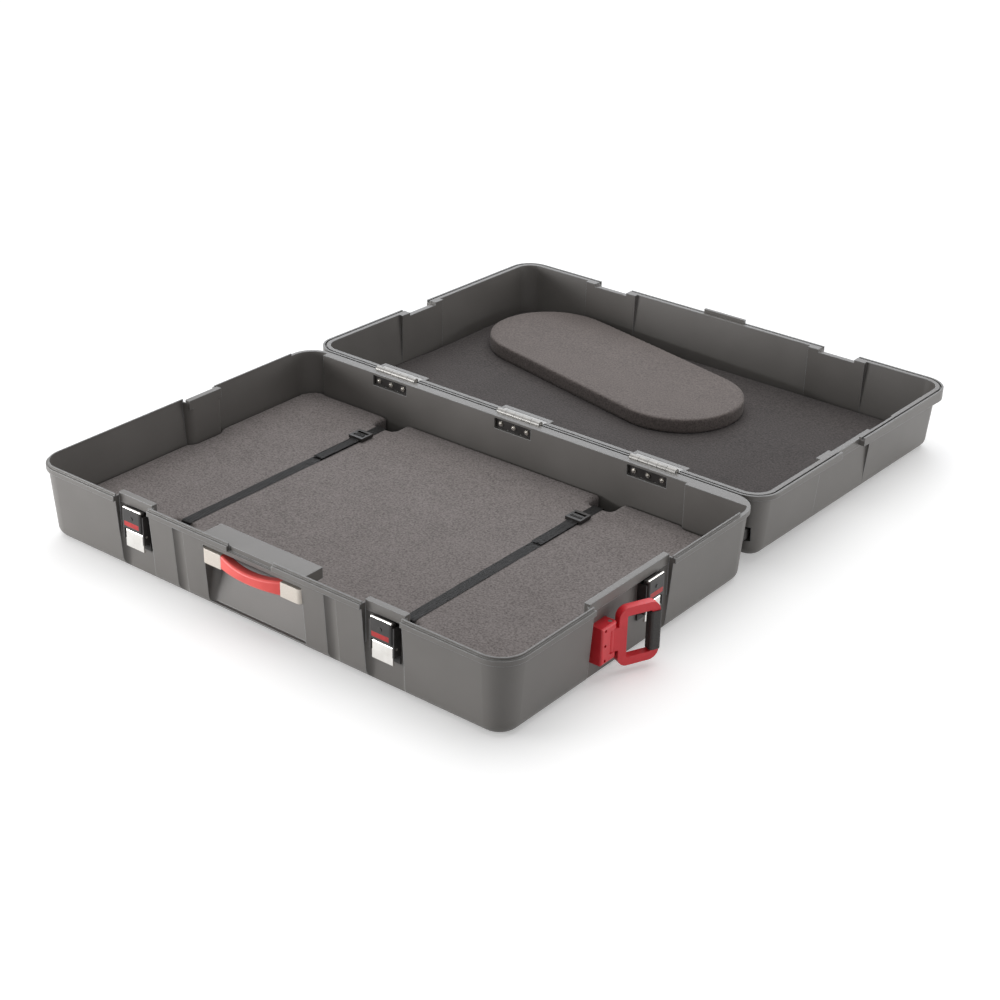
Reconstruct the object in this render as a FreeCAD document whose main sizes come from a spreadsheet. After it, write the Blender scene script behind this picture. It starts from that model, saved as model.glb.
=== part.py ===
import FreeCAD, Part
import math
import os
import re
import Sketcher
from FreeCAD import Placement, Rotation, Vector

# A hard bike travel case lying open: the base tub in front and the lid tub behind it, hinged along
# their long inner edges. The origin is the middle of the base's underside, +X points to the end with
# the tow handle, +Y to the lid and +Z up. Lid pieces are drawn about the hinge axis and then tilted,
# because the shallower lid rests its far edge on the ground.

SIZES = {
    # Both shells
    "case_length": 1190,
    "shell_width": 793,
    "base_depth": 159,
    "lid_depth": 147,
    "corner_radius": 58,
    "draft": 12,
    "wall": 3.6,
    "bottom_radius": 24,
    "overrun": 20,
    "clearance": 0.4,
    "running_fit": 0.05,
    "slide_fit": 0.3,
    # Rims
    "bead": 4,
    "bead_height": 10,
    "tongue_setback": 1,
    "tongue_height": 5,
    "tongue_end": 70,
    "groove_play": 0.8,
    "rim_gap": 0.4,
    "lid_setback": 14,
    "skirt_height": 26,
    "skirt_height_at_hinge": 10,
    # Latch recesses
    "latch_x": 316,
    "side_latch_y": 44,
    "recess_width": 92,
    "lid_recess_width": 140,
    "lid_tow_recess_width": 206,
    "recess_depth": 24,
    "hook_slot_depth": 15,
    "recess_web": 14,
    "recess_cove": 14,
    "tab_height": 6,
    "tow_recess_start": -144,
    "tow_recess_end": 100,
    "flute_radius": 18,
    "flute_depth": 7,
    "flute_x": 193,
    # Carry handle and its recess
    "handle_recess_half": 125,
    "handle_recess_depth": 54,
    "handle_recess_web": 22,
    "handle_recess_foot": 14,
    "handle_foot_depth": 8,
    "grip_half": 76,
    "grip_drop": 26,
    "grip_height": 30,
    "grip_thickness": 21,
    "grip_bow": 11,
    "grip_scoop": 8,
    "grip_front": 2,
    "grip_edge": 5,
    "cap_edge": 9,
    "centre_tab_half": 56,
    "centre_tab_height": 9,
    # Hinges
    "hinge_offset": 2.5,
    "hinge_inset": 255,
    "hinge_width": 112,
    "knuckle_radius": 7,
    "knuckle_gap": 0.6,
    "pin_radius": 3,
    "leaf_thickness": 3,
    "leaf_height": 40,
    "leaf_setback": 10,
    "lid_leaf_setback": 21,
    "hinge_bulge": 21,
    "window_half": 48,
    "window_depth": 7,
    "window_height": 24,
    "bolt_radius": 3,
    "bolt_head_radius": 5.5,
    "bolt_head": 2.6,
    "nut_radius": 5.8,
    "nut_height": 4,
    "bolt_spacing": 34,
    "bolt_drop": 17,
    # Latches
    "housing_half": 29,
    "housing_plate": 3,
    "housing_drop": 18,
    "housing_height": 82,
    "cheek": 4,
    "cheek_drop": 22,
    "cheek_height": 60,
    "cheek_reach": 19,
    "axle_drop": 66,
    "axle_reach": 12,
    "axle_radius": 2.5,
    "lever_half": 24,
    "lever_knuckle": 5,
    "lever_plate": 2,
    "lever_length": 32,
    "roll_radius": 2.6,
    "block_drop": 15,
    "block_height": 41,
    "block_back": 10,
    "block_front": 23,
    "block_edge": 4,
    "bar_radius": 2.2,
    "marker_height": 10,
    "marker_depth": 4,
    "lock_radius": 4,
    "lock_stand": 1.2,
    # Tow handle
    "bracket_start": -128,
    "bracket_end": -84,
    "bracket_low": 38,
    "bracket_drop": 46,
    "bracket_reach": 27,
    "bracket_lug": 14,
    "bracket_hole": 3,
    "bracket_hole_depth": 12,
    "bracket_hole_y": -117,
    "bracket_edge": 4,
    "tow_pivot_y": -92,
    "tow_pivot_reach": 17,
    "frame_from_pivot": 15,
    "tow_swing_gap": 1.5,
    "tow_pin_radius": 4,
    "tow_barrel_radius": 9,
    "frame_low": 16,
    "frame_drop": 24,
    "frame_reach": 100,
    "frame_bar": 17,
    "frame_thickness": 16,
    "frame_corner": 20,
    "tow_grip_bulge": 3,
    "tow_rest_angle": 24,
    # Foam
    "foam": 62,
    "lid_foam_thickness": 26,
    "foam_gap": 1.5,
    "pad_length_room": 450,
    "pad_width_room": 488,
    "pad_thickness": 34,
    "pad_edge": 2.5,
    "pad_end_flat": 8,
    "pad_x": -150,
    "pad_from_far_rim": 241,
    "pad_turn": -13,
    # Straps
    "strap_left_x": -318,
    "strap_right_x": 262,
    "strap_width": 25,
    "strap_thickness": 1.8,
    "strap_front_setback": 141,
    "strap_hinge_setback": 68,
    "slot_half": 30,
    "slot_reach": 34,
    "anchor_thickness": 2.5,
    "anchor_length": 26,
    "rivet_radius": 4,
    "rivet_height": 3,
    "buckle_from_slot": 72,
    "buckle_length": 36,
    "buckle_half": 19,
    "buckle_height": 7,
    "buckle_rail": 5,
    "buckle_bar": 7,
    # Transport wheels
    "wheel_inset": 79,
    "wheel_radius": 35,
    "wheel_width": 26,
    "wheel_low": 15,
    "wheel_gap": 11,
    "wheel_stand": 11,
    "wheel_edge": 5,
    "hub_radius": 22,
    "hub_recess": 4,
    "wheel_axle_radius": 5,
    "well_play": 6,
    "lug_half": 18,
    "well_housing_length": 155,
    "well_housing_depth": 26,
}

# Places that several pieces share, worked out from the sizes above
DERIVED = {
    "half_length": "case_length / 2",
    "half_width": "shell_width / 2",
    "hinge_y": "shell_width / 2 + hinge_offset",
    "lid_near": "hinge_offset",
    "lid_far": "hinge_offset + shell_width",
    "lid_rim": "0 - rim_gap",
    "lid_floor": "0 - rim_gap - lid_depth",
    "lid_latch_y": "shell_width / 2 + hinge_offset - side_latch_y",
    "foam_top": "wall + foam",
    "lid_foam_top": "wall + lid_foam_thickness - rim_gap - lid_depth",
    "wheel_y": "shell_width / 2 + hinge_offset + wheel_stand - wheel_radius",
    "lid_wheel_y": "wheel_radius - wheel_stand",
    "lid_wheel_low": "wheel_low + wheel_width + wheel_gap - base_depth - rim_gap",
    "well_half": "wheel_radius + well_play",
    "wheel_x": "case_length / 2 - wheel_inset",
    "well_housing_start": "case_length / 2 - well_housing_length",
    "hinge_x": "case_length / 2 - hinge_inset",
    "grip_low": "base_depth - grip_drop - grip_height",
    "housing_high": "base_depth - housing_drop",
    "housing_low": "base_depth - housing_drop - housing_height",
    "cheek_high": "base_depth - cheek_drop",
    "cheek_low": "base_depth - cheek_drop - cheek_height",
    "axle_height": "base_depth - axle_drop",
    "lever_low": "base_depth - axle_drop - lever_length",
    "block_high": "base_depth - block_drop",
    "block_low": "base_depth - block_drop - block_height",
    "bracket_high": "base_depth - bracket_drop",
    "bracket_slot_low": "bracket_low + bracket_lug",
    "bracket_slot_high": "base_depth - bracket_drop - bracket_lug",
    "frame_high": "base_depth - frame_drop",
    "pad_length": "case_length - pad_length_room",
    "pad_width": "shell_width - pad_width_room",
    "pad_corner": "(shell_width - pad_width_room - pad_end_flat) / 2",
    "pad_from_hinge": "hinge_offset + shell_width - pad_from_far_rim",
    "strap_front_y": "strap_front_setback - shell_width / 2",
    "strap_hinge_y": "shell_width / 2 - strap_hinge_setback",
    "buckle_y": "shell_width / 2 - strap_hinge_setback - buckle_from_slot",
}

doc = FreeCAD.newDocument("bike_travel_case")
sheet = doc.addObject("Spreadsheet::Sheet", "sizes")
for row, (alias, size) in enumerate(SIZES.items(), 1):
    sheet.set(f"A{row}", alias)
    sheet.set(f"B{row}", str(size))
    sheet.setAlias(f"B{row}", alias)
doc.recompute()

reader = doc.addObject("App::FeaturePython", "reader")
reader.addProperty("App::PropertyFloat", "reading")
parts = []


def spelled(expression):
    """The expression with every named size written as its cell of the sheet."""
    def cell(match):
        word = match.group(0)
        if word in DERIVED:
            return f"({spelled(DERIVED[word])})"
        return f"sizes.{word}" if word in SIZES else word
    return re.sub(r"[A-Za-z_][A-Za-z_0-9]*", cell, str(expression))


def bind(thing, prop, expression):
    thing.setExpression(prop, spelled(expression))


def number(expression):
    """What an expression of named sizes comes to, in millimetres or degrees."""
    bind(reader, "reading", expression)
    reader.recompute()
    return reader.reading


def box(name, x, y, z):
    """A box between two named places on each axis."""
    solid = doc.addObject("Part::Box", name)
    for side, axis, (low, high) in (("Length", "x", x), ("Width", "y", y), ("Height", "z", z)):
        bind(solid, side, f"({high}) - ({low})")
        bind(solid, f"Placement.Base.{axis}", low)
    return solid


TURNS = {
    "x": Rotation(Vector(0, 1, 0), 90),
    "y": Rotation(Vector(1, 0, 0), -90),
    "z": Rotation(),
}


def cylinder(name, radius, along, low, high, **at):
    """A cylinder along one axis between two places, at the named places on the other two."""
    solid = doc.addObject("Part::Cylinder", name)
    solid.Placement = Placement(Vector(), TURNS[along])
    bind(solid, "Radius", radius)
    bind(solid, "Height", f"({high}) - ({low})")
    bind(solid, f"Placement.Base.{along}", low)
    for axis, place in at.items():
        bind(solid, f"Placement.Base.{axis}", place)
    return solid


def fuse(name, solids):
    joined = doc.addObject("Part::MultiFuse", name)
    joined.Shapes = solids
    joined.Refine = True
    return joined


def cut(name, base, tools):
    result = doc.addObject("Part::Cut", name)
    result.Base = base
    result.Tool = tools[0] if len(tools) == 1 else fuse(name + "_tools", tools)
    result.Refine = True
    return result


def group(name, solids):
    """Like pieces that stay separate solids in one node."""
    kept = doc.addObject("Part::Compound", name)
    kept.Links = solids
    return kept


def keep(piece, label, place=None):
    """Names a finished sub-part, sets it in its place and lists it for writing."""
    if place:
        piece.Label = f"{label}_drawn"
        piece = group(f"{label}_in_place", [piece])
        piece.Placement = place
    piece.Label = label
    parts.append(piece)


def sketch_on(body, name, plane, offset="0"):
    sketch = body.newObject("Sketcher::SketchObject", name)
    support = [f for f in body.Origin.OriginFeatures if f.Role == plane][0]
    sketch.AttachmentSupport = [(support, "")]
    sketch.MapMode = "FlatFace"
    bind(sketch, "AttachmentOffset.Base.z", offset)
    return sketch


def constrain(sketch, kind, *where, size=None):
    if size is None:
        sketch.addConstraint(Sketcher.Constraint(kind, *where))
        return
    index = sketch.addConstraint(Sketcher.Constraint(kind, *where, number(size)))
    bind(sketch, f"Constraints[{index}]", size)


def rounded_outline(sketch, low, high, near, far, radius):
    """A rectangle between four named places with one radius on its corners."""
    x0, x1, y0, y1 = number(low), number(high), number(near), number(far)
    r = number(radius)
    up = Vector(0, 0, 1)
    quarter = math.pi / 2
    ends = [
        ((x0 + r, y0), (x1 - r, y0)),
        ((x1, y0 + r), (x1, y1 - r)),
        ((x1 - r, y1), (x0 + r, y1)),
        ((x0, y1 - r), (x0, y0 + r)),
    ]
    centres = [(x1 - r, y0 + r), (x1 - r, y1 - r), (x0 + r, y1 - r), (x0 + r, y0 + r)]
    lines = [sketch.addGeometry(Part.LineSegment(Vector(*a, 0), Vector(*b, 0))) for a, b in ends]
    arcs = []
    for turn, centre in enumerate(centres):
        circle = Part.Circle(Vector(*centre, 0), up, r)
        arcs.append(sketch.addGeometry(Part.ArcOfCircle(circle, (turn - 1) * quarter, turn * quarter)))
    for side in range(4):
        constrain(sketch, "Tangent", lines[side], 2, arcs[side], 1)
        constrain(sketch, "Tangent", arcs[side], 2, lines[(side + 1) % 4], 1)
        constrain(sketch, "Horizontal" if side % 2 == 0 else "Vertical", lines[side])
        if side:
            constrain(sketch, "Equal", arcs[0], arcs[side])
    constrain(sketch, "Radius", arcs[0], size=radius)
    constrain(sketch, "DistanceY", -1, 1, lines[0], 1, size=near)
    constrain(sketch, "DistanceX", -1, 1, lines[1], 1, size=high)
    constrain(sketch, "DistanceY", -1, 1, lines[2], 1, size=far)
    constrain(sketch, "DistanceX", -1, 1, lines[3], 1, size=low)


def pad(body, sketch, length, lean=None, down=False):
    """Pads a sketch by a length; lean is how far its outline draws in over that length."""
    feature = body.newObject("PartDesign::Pad", sketch.Name + "_pad")
    feature.Profile = sketch
    feature.Reversed = down
    bind(feature, "Length", length)
    if lean:
        bind(feature, "TaperAngle", f"-atan(({lean}) / ({length}))")
    doc.recompute()
    return feature


def soften(body, feature, radius, chosen):
    """Rounds those edges of a body's last feature that the test picks."""
    names = [f"Edge{i}" for i, edge in enumerate(feature.Shape.Edges, 1) if chosen(edge)]
    fillet = body.newObject("PartDesign::Fillet", feature.Name + "_round")
    fillet.Base = (feature, names)
    bind(fillet, "Radius", radius)
    body.Tip = fillet
    doc.recompute()
    return fillet


def level(edge, height):
    """True for an edge that lies in a level plane at a height."""
    bounds = edge.BoundBox
    slack = number("clearance / 100")
    return abs(bounds.ZMin - height) < slack and abs(bounds.ZMax - height) < slack


def rounded_block(name, inset, top, depth, near, far, lean=None, bottom_edge=None):
    """A block of the case's plan, drawn in by an inset, from a top level down, with its draft."""
    body = doc.addObject("PartDesign::Body", name)
    sketch = sketch_on(body, name + "_outline", "XY_Plane", top)
    rounded_outline(
        sketch, f"{inset} - half_length", f"half_length - ({inset})",
        f"{near} + {inset}", f"{far} - ({inset})", f"corner_radius - ({inset})")
    feature = pad(body, sketch, depth, lean, down=True)
    if bottom_edge:
        low = number(f"({top}) - ({depth})")
        soften(body, feature, bottom_edge, lambda edge: level(edge, low))
    return body


def round_edges(name, solid, radius, chosen):
    """Rounds those edges of a solid that the test picks."""
    doc.recompute()
    fillet = doc.addObject("Part::Fillet", name)
    fillet.Base = solid
    size = number(radius)
    fillet.Edges = [(i, size, size) for i, edge in enumerate(solid.Shape.Edges, 1) if chosen(edge)]
    return fillet


def upright(edge):
    """True for an edge that runs straight up."""
    return edge.BoundBox.ZLength > number("clearance") > edge.BoundBox.XLength + edge.BoundBox.YLength


def front_recess(name, x, half, depth, low, high):
    """A cut into the base's front wall, as deep as named from the rim's outer edge."""
    return box(name, (f"({x}) - ({half})", f"({x}) + ({half})"),
               ("0 - half_width - overrun", f"({depth}) - half_width"), (low, high))


def side_recess(name, side, near, far, depth, low, high):
    """A cut into a short wall: side is 1 at the tow-handle end and -1 at the other."""
    inner, outer = f"half_length - ({depth})", "half_length + overrun"
    x = (inner, outer) if side > 0 else (f"0 - ({outer})", f"0 - ({inner})")
    return box(name, x, (near, far), (low, high))


def coved(name, solid, radius):
    """A recess with round inner corners, from bottom to top."""
    half_length, half_width = number("half_length"), number("half_width")

    def inner_corner(edge):
        bounds, middle = edge.BoundBox, edge.CenterOfMass
        rises = bounds.ZLength > bounds.XLength + bounds.YLength
        return rises and abs(middle.x) < half_length and abs(middle.y) < half_width
    return round_edges(name, solid, radius, inner_corner)


HINGES = {"left": "0 - hinge_x", "middle": "0", "right": "hinge_x"}
FRONT_LATCHES = {"left": "0 - latch_x", "right": "latch_x"}
STRAPS = {"left": "strap_left_x", "right": "strap_right_x"}
BOLTS = (-1, 0, 1)


def bolt_holes(name, x, y_low, y_high, height, radius):
    return [cylinder(f"{name}_{i + 1}", radius, "y", y_low, y_high,
                     x=f"({x}) + ({i}) * bolt_spacing", z=height) for i in BOLTS]


# Base shell: moulded tub with a beaded rim, an upright tongue and recesses that bulge inside

base_outer = fuse("base_outer", [
    rounded_block("base_block", "bead", "base_depth", "base_depth", "0 - half_width", "half_width",
                  "draft", "bottom_radius"),
    rounded_block("base_bead", "0", "base_depth", "bead_height", "0 - half_width", "half_width"),
])
base_hollow = rounded_block(
    "base_hollow", "bead + wall", "base_depth", "base_depth - wall", "0 - half_width", "half_width",
    "draft * (base_depth - wall) / base_depth", "bottom_radius - wall")

SIDE_SPANS = {
    "left": (-1, "side_latch_y - recess_width / 2", "side_latch_y + recess_width / 2"),
    "right": (1, "tow_recess_start", "tow_recess_end"),
}


def handle_wedge(name, extra):
    """The handle recess is deepest behind the grip and grows shallow towards its foot."""
    wedge = doc.addObject("Part::Wedge", name)
    wedge.Placement = Placement(Vector(), Rotation(Vector(1, 0, 0), 90))
    for end in ("Xmin", "X2min"):
        bind(wedge, end, f"0 - handle_recess_half - ({extra})")
    for end in ("Xmax", "X2max"):
        bind(wedge, end, f"handle_recess_half + {extra}")
    bind(wedge, "Ymin", f"handle_recess_foot - ({extra})")
    bind(wedge, "Ymax", "base_depth - handle_recess_web")
    bind(wedge, "Zmin", f"half_width - bead - draft - handle_foot_depth - ({extra})")
    bind(wedge, "Z2min", f"half_width - handle_recess_depth - ({extra})")
    for end in ("Zmax", "Z2max"):
        bind(wedge, end, "half_width + overrun")
    return coved(f"{name}_coved", wedge, f"recess_cove + {extra}")


def flutes(kind, extra):
    """A round groove on each side of the handle, leaning with the wall, wider by a named thickness."""
    grooves = []
    for side in (-1, 1):
        flute = doc.addObject("Part::Cylinder", f"flute_{kind}_{side + 1}")
        flute.Placement = Placement(Vector(), Rotation(Vector(1, 0, 0), 1))
        bind(flute, "Radius", f"flute_radius + {extra}")
        bind(flute, "Height", f"base_depth - bead_height * 3 / 2 + overrun + {extra}")
        bind(flute, "Placement.Rotation.Angle", "atan(draft / base_depth)")
        bind(flute, "Placement.Base.x", f"{side} * flute_x")
        bind(flute, "Placement.Base.y", "draft * (base_depth + overrun) / base_depth + bead + flute_depth"
             " - half_width - flute_radius")
        bind(flute, "Placement.Base.z", "0 - overrun")
        grooves.append(flute)
    return grooves


def base_bulges(kind, extra):
    """What the recesses and the wheel well take from the inside, with a wall of named thickness."""
    top = "base_depth + overrun"
    bulges = flutes(kind, extra) + [handle_wedge(f"handle_{kind}", extra)]
    bulges.append(front_recess(
        f"handle_top_{kind}", "0", f"handle_recess_half + {extra} + clearance",
        f"handle_recess_depth + {extra} + clearance", "base_depth - handle_recess_web", top))
    for tag, x in FRONT_LATCHES.items():
        bulges.append(coved(f"front_{kind}_{tag}_coved", front_recess(
            f"front_{kind}_{tag}", x, f"recess_width / 2 + {extra}", f"recess_depth + {extra}", "0", top),
            f"recess_cove + {extra}"))
    for tag, (side, near, far) in SIDE_SPANS.items():
        bulges.append(coved(f"side_{kind}_{tag}_coved", side_recess(
            f"side_{kind}_{tag}", side, f"{near} - ({extra})", f"{far} + {extra}",
            f"recess_depth + {extra}", "0", top), f"recess_cove + {extra}"))
    bulges.append(box(
        f"well_{kind}", (f"wheel_x - well_half - ({extra})", "half_length + overrun"),
        (f"wheel_y - well_half - ({extra})", "half_width + overrun"),
        ("0", f"wheel_low + wheel_width + well_play / 2 + {extra}")))
    bulges.append(box(
        f"well_housing_{kind}", (f"well_housing_start - ({extra})", "half_length + overrun"),
        (f"half_width - well_housing_depth - ({extra})", "half_width + overrun"), ("0", top)))
    return bulges


shell_bulges = base_bulges("bulge", "wall")
base_cuts = flutes("groove", "0") + [handle_wedge("handle_recess", "0")]
base_tabs = []
for tag, x in FRONT_LATCHES.items():
    base_cuts.append(coved(f"front_recess_{tag}_coved", front_recess(
        f"front_recess_{tag}", x, "recess_width / 2", "recess_depth",
        "0 - overrun", "base_depth - recess_web"), "recess_cove"))
    base_cuts.append(front_recess(
        f"front_hook_slot_{tag}", x, "recess_width / 2", "hook_slot_depth", "base_depth / 2",
        "base_depth + overrun"))
    base_tabs.append(box(
        f"front_tab_{tag}", (f"{x} - recess_width / 2", f"{x} + recess_width / 2"),
        ("hook_slot_depth - half_width", "recess_depth + wall - half_width"),
        ("base_depth - recess_web", "base_depth + tab_height")))
for tag, (side, near, far) in SIDE_SPANS.items():
    base_cuts.append(coved(f"side_recess_{tag}_coved", side_recess(
        f"side_recess_{tag}", side, near, far, "recess_depth", "0 - overrun", "base_depth - recess_web"),
        "recess_cove"))
    base_cuts.append(side_recess(
        f"side_hook_slot_{tag}", side, near, far, "hook_slot_depth", "base_depth / 2",
        "base_depth + overrun"))
    inner, outer = "half_length - recess_depth - wall", "half_length - hook_slot_depth"
    tab_x = (inner, outer) if side > 0 else (f"0 - ({outer})", f"0 - ({inner})")
    base_tabs.append(box(
        f"side_tab_{tag}", tab_x, (near, far), ("base_depth - recess_web", "base_depth + tab_height")))
base_cuts.append(front_recess(
    "rim_notch", "0", "centre_tab_half + groove_play", "bead + wall",
    "base_depth - centre_tab_height - groove_play", "base_depth + overrun"))

# Hinge side: the wall stands in upright from a wide rim, with a channel outside between the hinges.
# Each hinge has a flat seat outside for its leaf, a thick block behind it and a window for the nuts.


def hinge_wall(name, extra):
    return box(name, ("corner_radius - half_length", "half_length - corner_radius"),
               (f"half_width - hinge_bulge - ({extra})", "half_width + overrun"),
               ("0", "base_depth + overrun"))


shell_bulges.append(hinge_wall("hinge_wall", "0"))
hinge_blocks = []
for tag, x in HINGES.items():
    hinge_blocks.append(box(
        f"hinge_block_{tag}", (f"{x} - hinge_width / 2 - wall * 2", f"{x} + hinge_width / 2 + wall * 2"),
        ("half_width - hinge_bulge", "half_width + overrun"),
        ("base_depth - leaf_height - wall * 2", "base_depth + overrun")))
    base_cuts.append(box(
        f"hinge_seat_{tag}", (f"{x} - hinge_width / 2 - clearance", f"{x} + hinge_width / 2 + clearance"),
        ("half_width - leaf_setback", "half_width + overrun"),
        ("base_depth - leaf_height - clearance", "base_depth + overrun")))
    base_cuts.append(box(
        f"hinge_window_{tag}", (f"{x} - window_half", f"{x} + window_half"),
        ("half_width - hinge_bulge - overrun", "half_width - hinge_bulge + window_depth"),
        ("base_depth - bolt_drop - window_height / 2", "base_depth - bolt_drop + window_height / 2")))
    base_cuts += bolt_holes(
        f"base_bolt_hole_{tag}", x, "half_width - hinge_bulge - wall", "half_width",
        "base_depth - bolt_drop", "bolt_radius + running_fit")

base_cuts.append(cut("hinge_channel", box(
    "hinge_channel_room", ("corner_radius + wall - half_length", "well_housing_start - wall"),
    ("half_width - hinge_bulge + wall", "half_width + overrun"),
    ("bottom_radius", "base_depth - recess_web")), hinge_blocks))

# Wheel well at the hinge-side corner of the tow-handle end, under an inward housing
base_cuts.append(box(
    "well_housing_hollow", ("well_housing_start", "wheel_x + well_half"),
    ("half_width - well_housing_depth", "half_width + overrun"),
    ("wheel_low + wheel_width + well_play / 2 + wall", "base_depth - recess_web")))
base_cuts.append(box(
    "wheel_well", ("wheel_x - well_half", "wheel_x + well_half"),
    ("wheel_y - well_half", "half_width + overrun"),
    ("wheel_low - well_play / 2", "wheel_low + wheel_width + well_play / 2")))
base_cuts.append(cylinder(
    "wheel_axle_hole", "wheel_axle_radius + running_fit", "z", "wheel_low - well_play",
    "wheel_low + wheel_width + well_play", x="wheel_x", y="wheel_y"))


def wheel_lugs(kind, low, y, outer):
    """Two plates that carry a wheel's axle where it stands out past the wall."""
    bore = cylinder(f"{kind}_lug_bore", "wheel_axle_radius + running_fit", "z", f"{low} - overrun",
                    f"{low} + wheel_width + overrun", x="wheel_x", y=y)
    below, above = f"{low} - well_play / 2", f"{low} + wheel_width + well_play / 2"
    x = ("wheel_x - lug_half", "wheel_x + lug_half")
    plates = [box(f"{kind}_lug_below", x, outer, (f"{below} - wall", below)),
              box(f"{kind}_lug_above", x, outer, (above, f"{above} + wall"))]
    return cut(f"{kind}_lugs", fuse(f"{kind}_lug_plates", plates), [bore])


base_tabs.append(wheel_lugs(
    "base", "wheel_low", "wheel_y", ("wheel_y - well_half", "wheel_y + wheel_axle_radius + wall * 2")))
base_tongue = cut("base_tongue", rounded_block(
    "tongue_outer", "bead + tongue_setback", "base_depth + tongue_height", "tongue_height + wall",
    "0 - half_width", "half_width"), [
    rounded_block("tongue_inner", "bead + wall", "base_depth + tongue_height * 2", "tongue_height * 4",
                  "0 - half_width", "half_width"),
    box("tongue_stop", ("0 - case_length", "case_length"), ("half_width - tongue_end", "half_width + overrun"),
        ("0", "base_depth + overrun")),
])
base_tub = cut("base_tub", fuse("base_rimmed", [base_outer, base_tongue]),
               [cut("base_cavity", base_hollow, shell_bulges)])
keep(fuse("base_shell", [cut("base_recessed", base_tub, base_cuts)] + base_tabs), "base_shell")


# Lid shell: the shallower tub, standing in from an overhanging skirt that deepens away from the hinges

LID_SIDE_SPANS = {
    "left": (-1, "lid_latch_y - lid_recess_width / 2", "lid_latch_y + lid_recess_width / 2"),
    "right": (1, "lid_latch_y - lid_tow_recess_width / 2", "lid_latch_y + lid_tow_recess_width / 2"),
}
LID_TAB_SPANS = {
    "left": (-1, "lid_latch_y - recess_width / 2", "lid_latch_y + recess_width / 2"),
    "right": (1, "hinge_y - tow_recess_end", "hinge_y - tow_recess_start"),
}


def far_recess(name, x, half, depth, low, high):
    """A cut into the lid's far wall, as deep as named from the rim's outer edge."""
    return box(name, (f"({x}) - ({half})", f"({x}) + ({half})"),
               (f"lid_far - ({depth})", "lid_far + overrun"), (low, high))


skirt_slope = doc.addObject("Part::Wedge", "skirt_slope")
for end, place in {
    "Xmin": "0 - case_length", "X2min": "0 - case_length", "Xmax": "case_length", "X2max": "case_length",
    "Ymin": "lid_near", "Ymax": "lid_far",
    "Zmin": "lid_rim - skirt_height - overrun", "Z2min": "lid_rim - skirt_height - overrun",
    "Zmax": "lid_rim - skirt_height_at_hinge", "Z2max": "lid_rim - skirt_height",
}.items():
    bind(skirt_slope, end, place)
lid_outer = fuse("lid_outer", [
    rounded_block("lid_block", "lid_setback", "lid_rim", "lid_depth", "lid_near", "lid_far",
                  "draft", "bottom_radius"),
    cut("lid_skirt", rounded_block(
        "lid_skirt_block", "0", "lid_rim", "skirt_height + overrun / 2", "lid_near", "lid_far"),
        [skirt_slope]),
])
lid_hollow = rounded_block(
    "lid_hollow", "lid_setback + wall", "lid_rim", "lid_depth - wall", "lid_near", "lid_far",
    "draft * (lid_depth - wall) / lid_depth", "bottom_radius - wall")


def lid_well(name, extra):
    """The lid's wheel well with walls of named thickness, standing on the lid's floor."""
    return box(name, (f"wheel_x - well_half - ({extra})", "half_length + overrun"),
               ("lid_near - overrun", f"lid_wheel_y + well_half + {extra}"),
               ("lid_floor - overrun", f"lid_wheel_low + wheel_width + well_play / 2 + {extra}"))


lid_bulges = [lid_well("lid_well_bulge", "wall")]
lid_cuts = [
    box("lid_wheel_well", ("wheel_x - well_half", "wheel_x + well_half"),
        ("lid_near - overrun", "lid_wheel_y + well_half"),
        ("lid_wheel_low - well_play / 2", "lid_wheel_low + wheel_width + well_play / 2")),
    cylinder("lid_axle_hole", "wheel_axle_radius + running_fit", "z", "lid_wheel_low - well_play",
             "lid_wheel_low + wheel_width + well_play", x="wheel_x", y="lid_wheel_y"),
    cut("tongue_groove", rounded_block(
        "groove_outer", "bead + tongue_setback - groove_play", "lid_rim + overrun",
        "overrun + tongue_height + groove_play", "lid_near", "lid_far"), [rounded_block(
            "groove_inner", "bead + wall + groove_play", "lid_rim + overrun * 2", "overrun * 4",
            "lid_near", "lid_far")]),
]
for tag, x in FRONT_LATCHES.items():
    lid_bulges.append(far_recess(
        f"far_bulge_{tag}", x, "lid_recess_width / 2 + wall", "recess_depth + wall", "lid_floor", "overrun"))
    lid_cuts.append(far_recess(
        f"far_recess_{tag}", x, "lid_recess_width / 2", "recess_depth",
        "lid_floor - overrun", "lid_rim - skirt_height"))
    lid_cuts.append(far_recess(
        f"far_hook_slot_{tag}", x, "recess_width / 2", "hook_slot_depth",
        "lid_rim - skirt_height - overrun", "overrun"))
    lid_cuts.append(box(
        f"far_tab_relief_{tag}",
        (f"{x} - recess_width / 2 - groove_play", f"{x} + recess_width / 2 + groove_play"),
        ("lid_far - recess_depth - wall - overrun", "lid_far - hook_slot_depth + groove_play"),
        ("lid_rim - tab_height - groove_play", "overrun")))
for tag, (side, near, far) in LID_SIDE_SPANS.items():
    lid_bulges.append(side_recess(
        f"lid_side_bulge_{tag}", side, f"{near} - wall", f"{far} + wall", "recess_depth + wall",
        "lid_floor", "overrun"))
    lid_cuts.append(side_recess(
        f"lid_side_recess_{tag}", side, near, far, "recess_depth",
        "lid_floor - overrun", "lid_rim - skirt_height"))
    lid_cuts.append(side_recess(
        f"lid_side_hook_slot_{tag}", side, "lid_latch_y - recess_width / 2", "lid_latch_y + recess_width / 2",
        "hook_slot_depth", "lid_rim - skirt_height - overrun", "overrun"))
for tag, (side, near, far) in LID_TAB_SPANS.items():
    inner, outer = "half_length - recess_depth - wall - overrun", "half_length - hook_slot_depth + groove_play"
    relief_x = (inner, outer) if side > 0 else (f"0 - ({outer})", f"0 - ({inner})")
    lid_cuts.append(box(
        f"lid_side_tab_relief_{tag}", relief_x, (f"{near} - groove_play", f"{far} + groove_play"),
        ("lid_rim - tab_height - groove_play", "overrun")))
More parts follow.
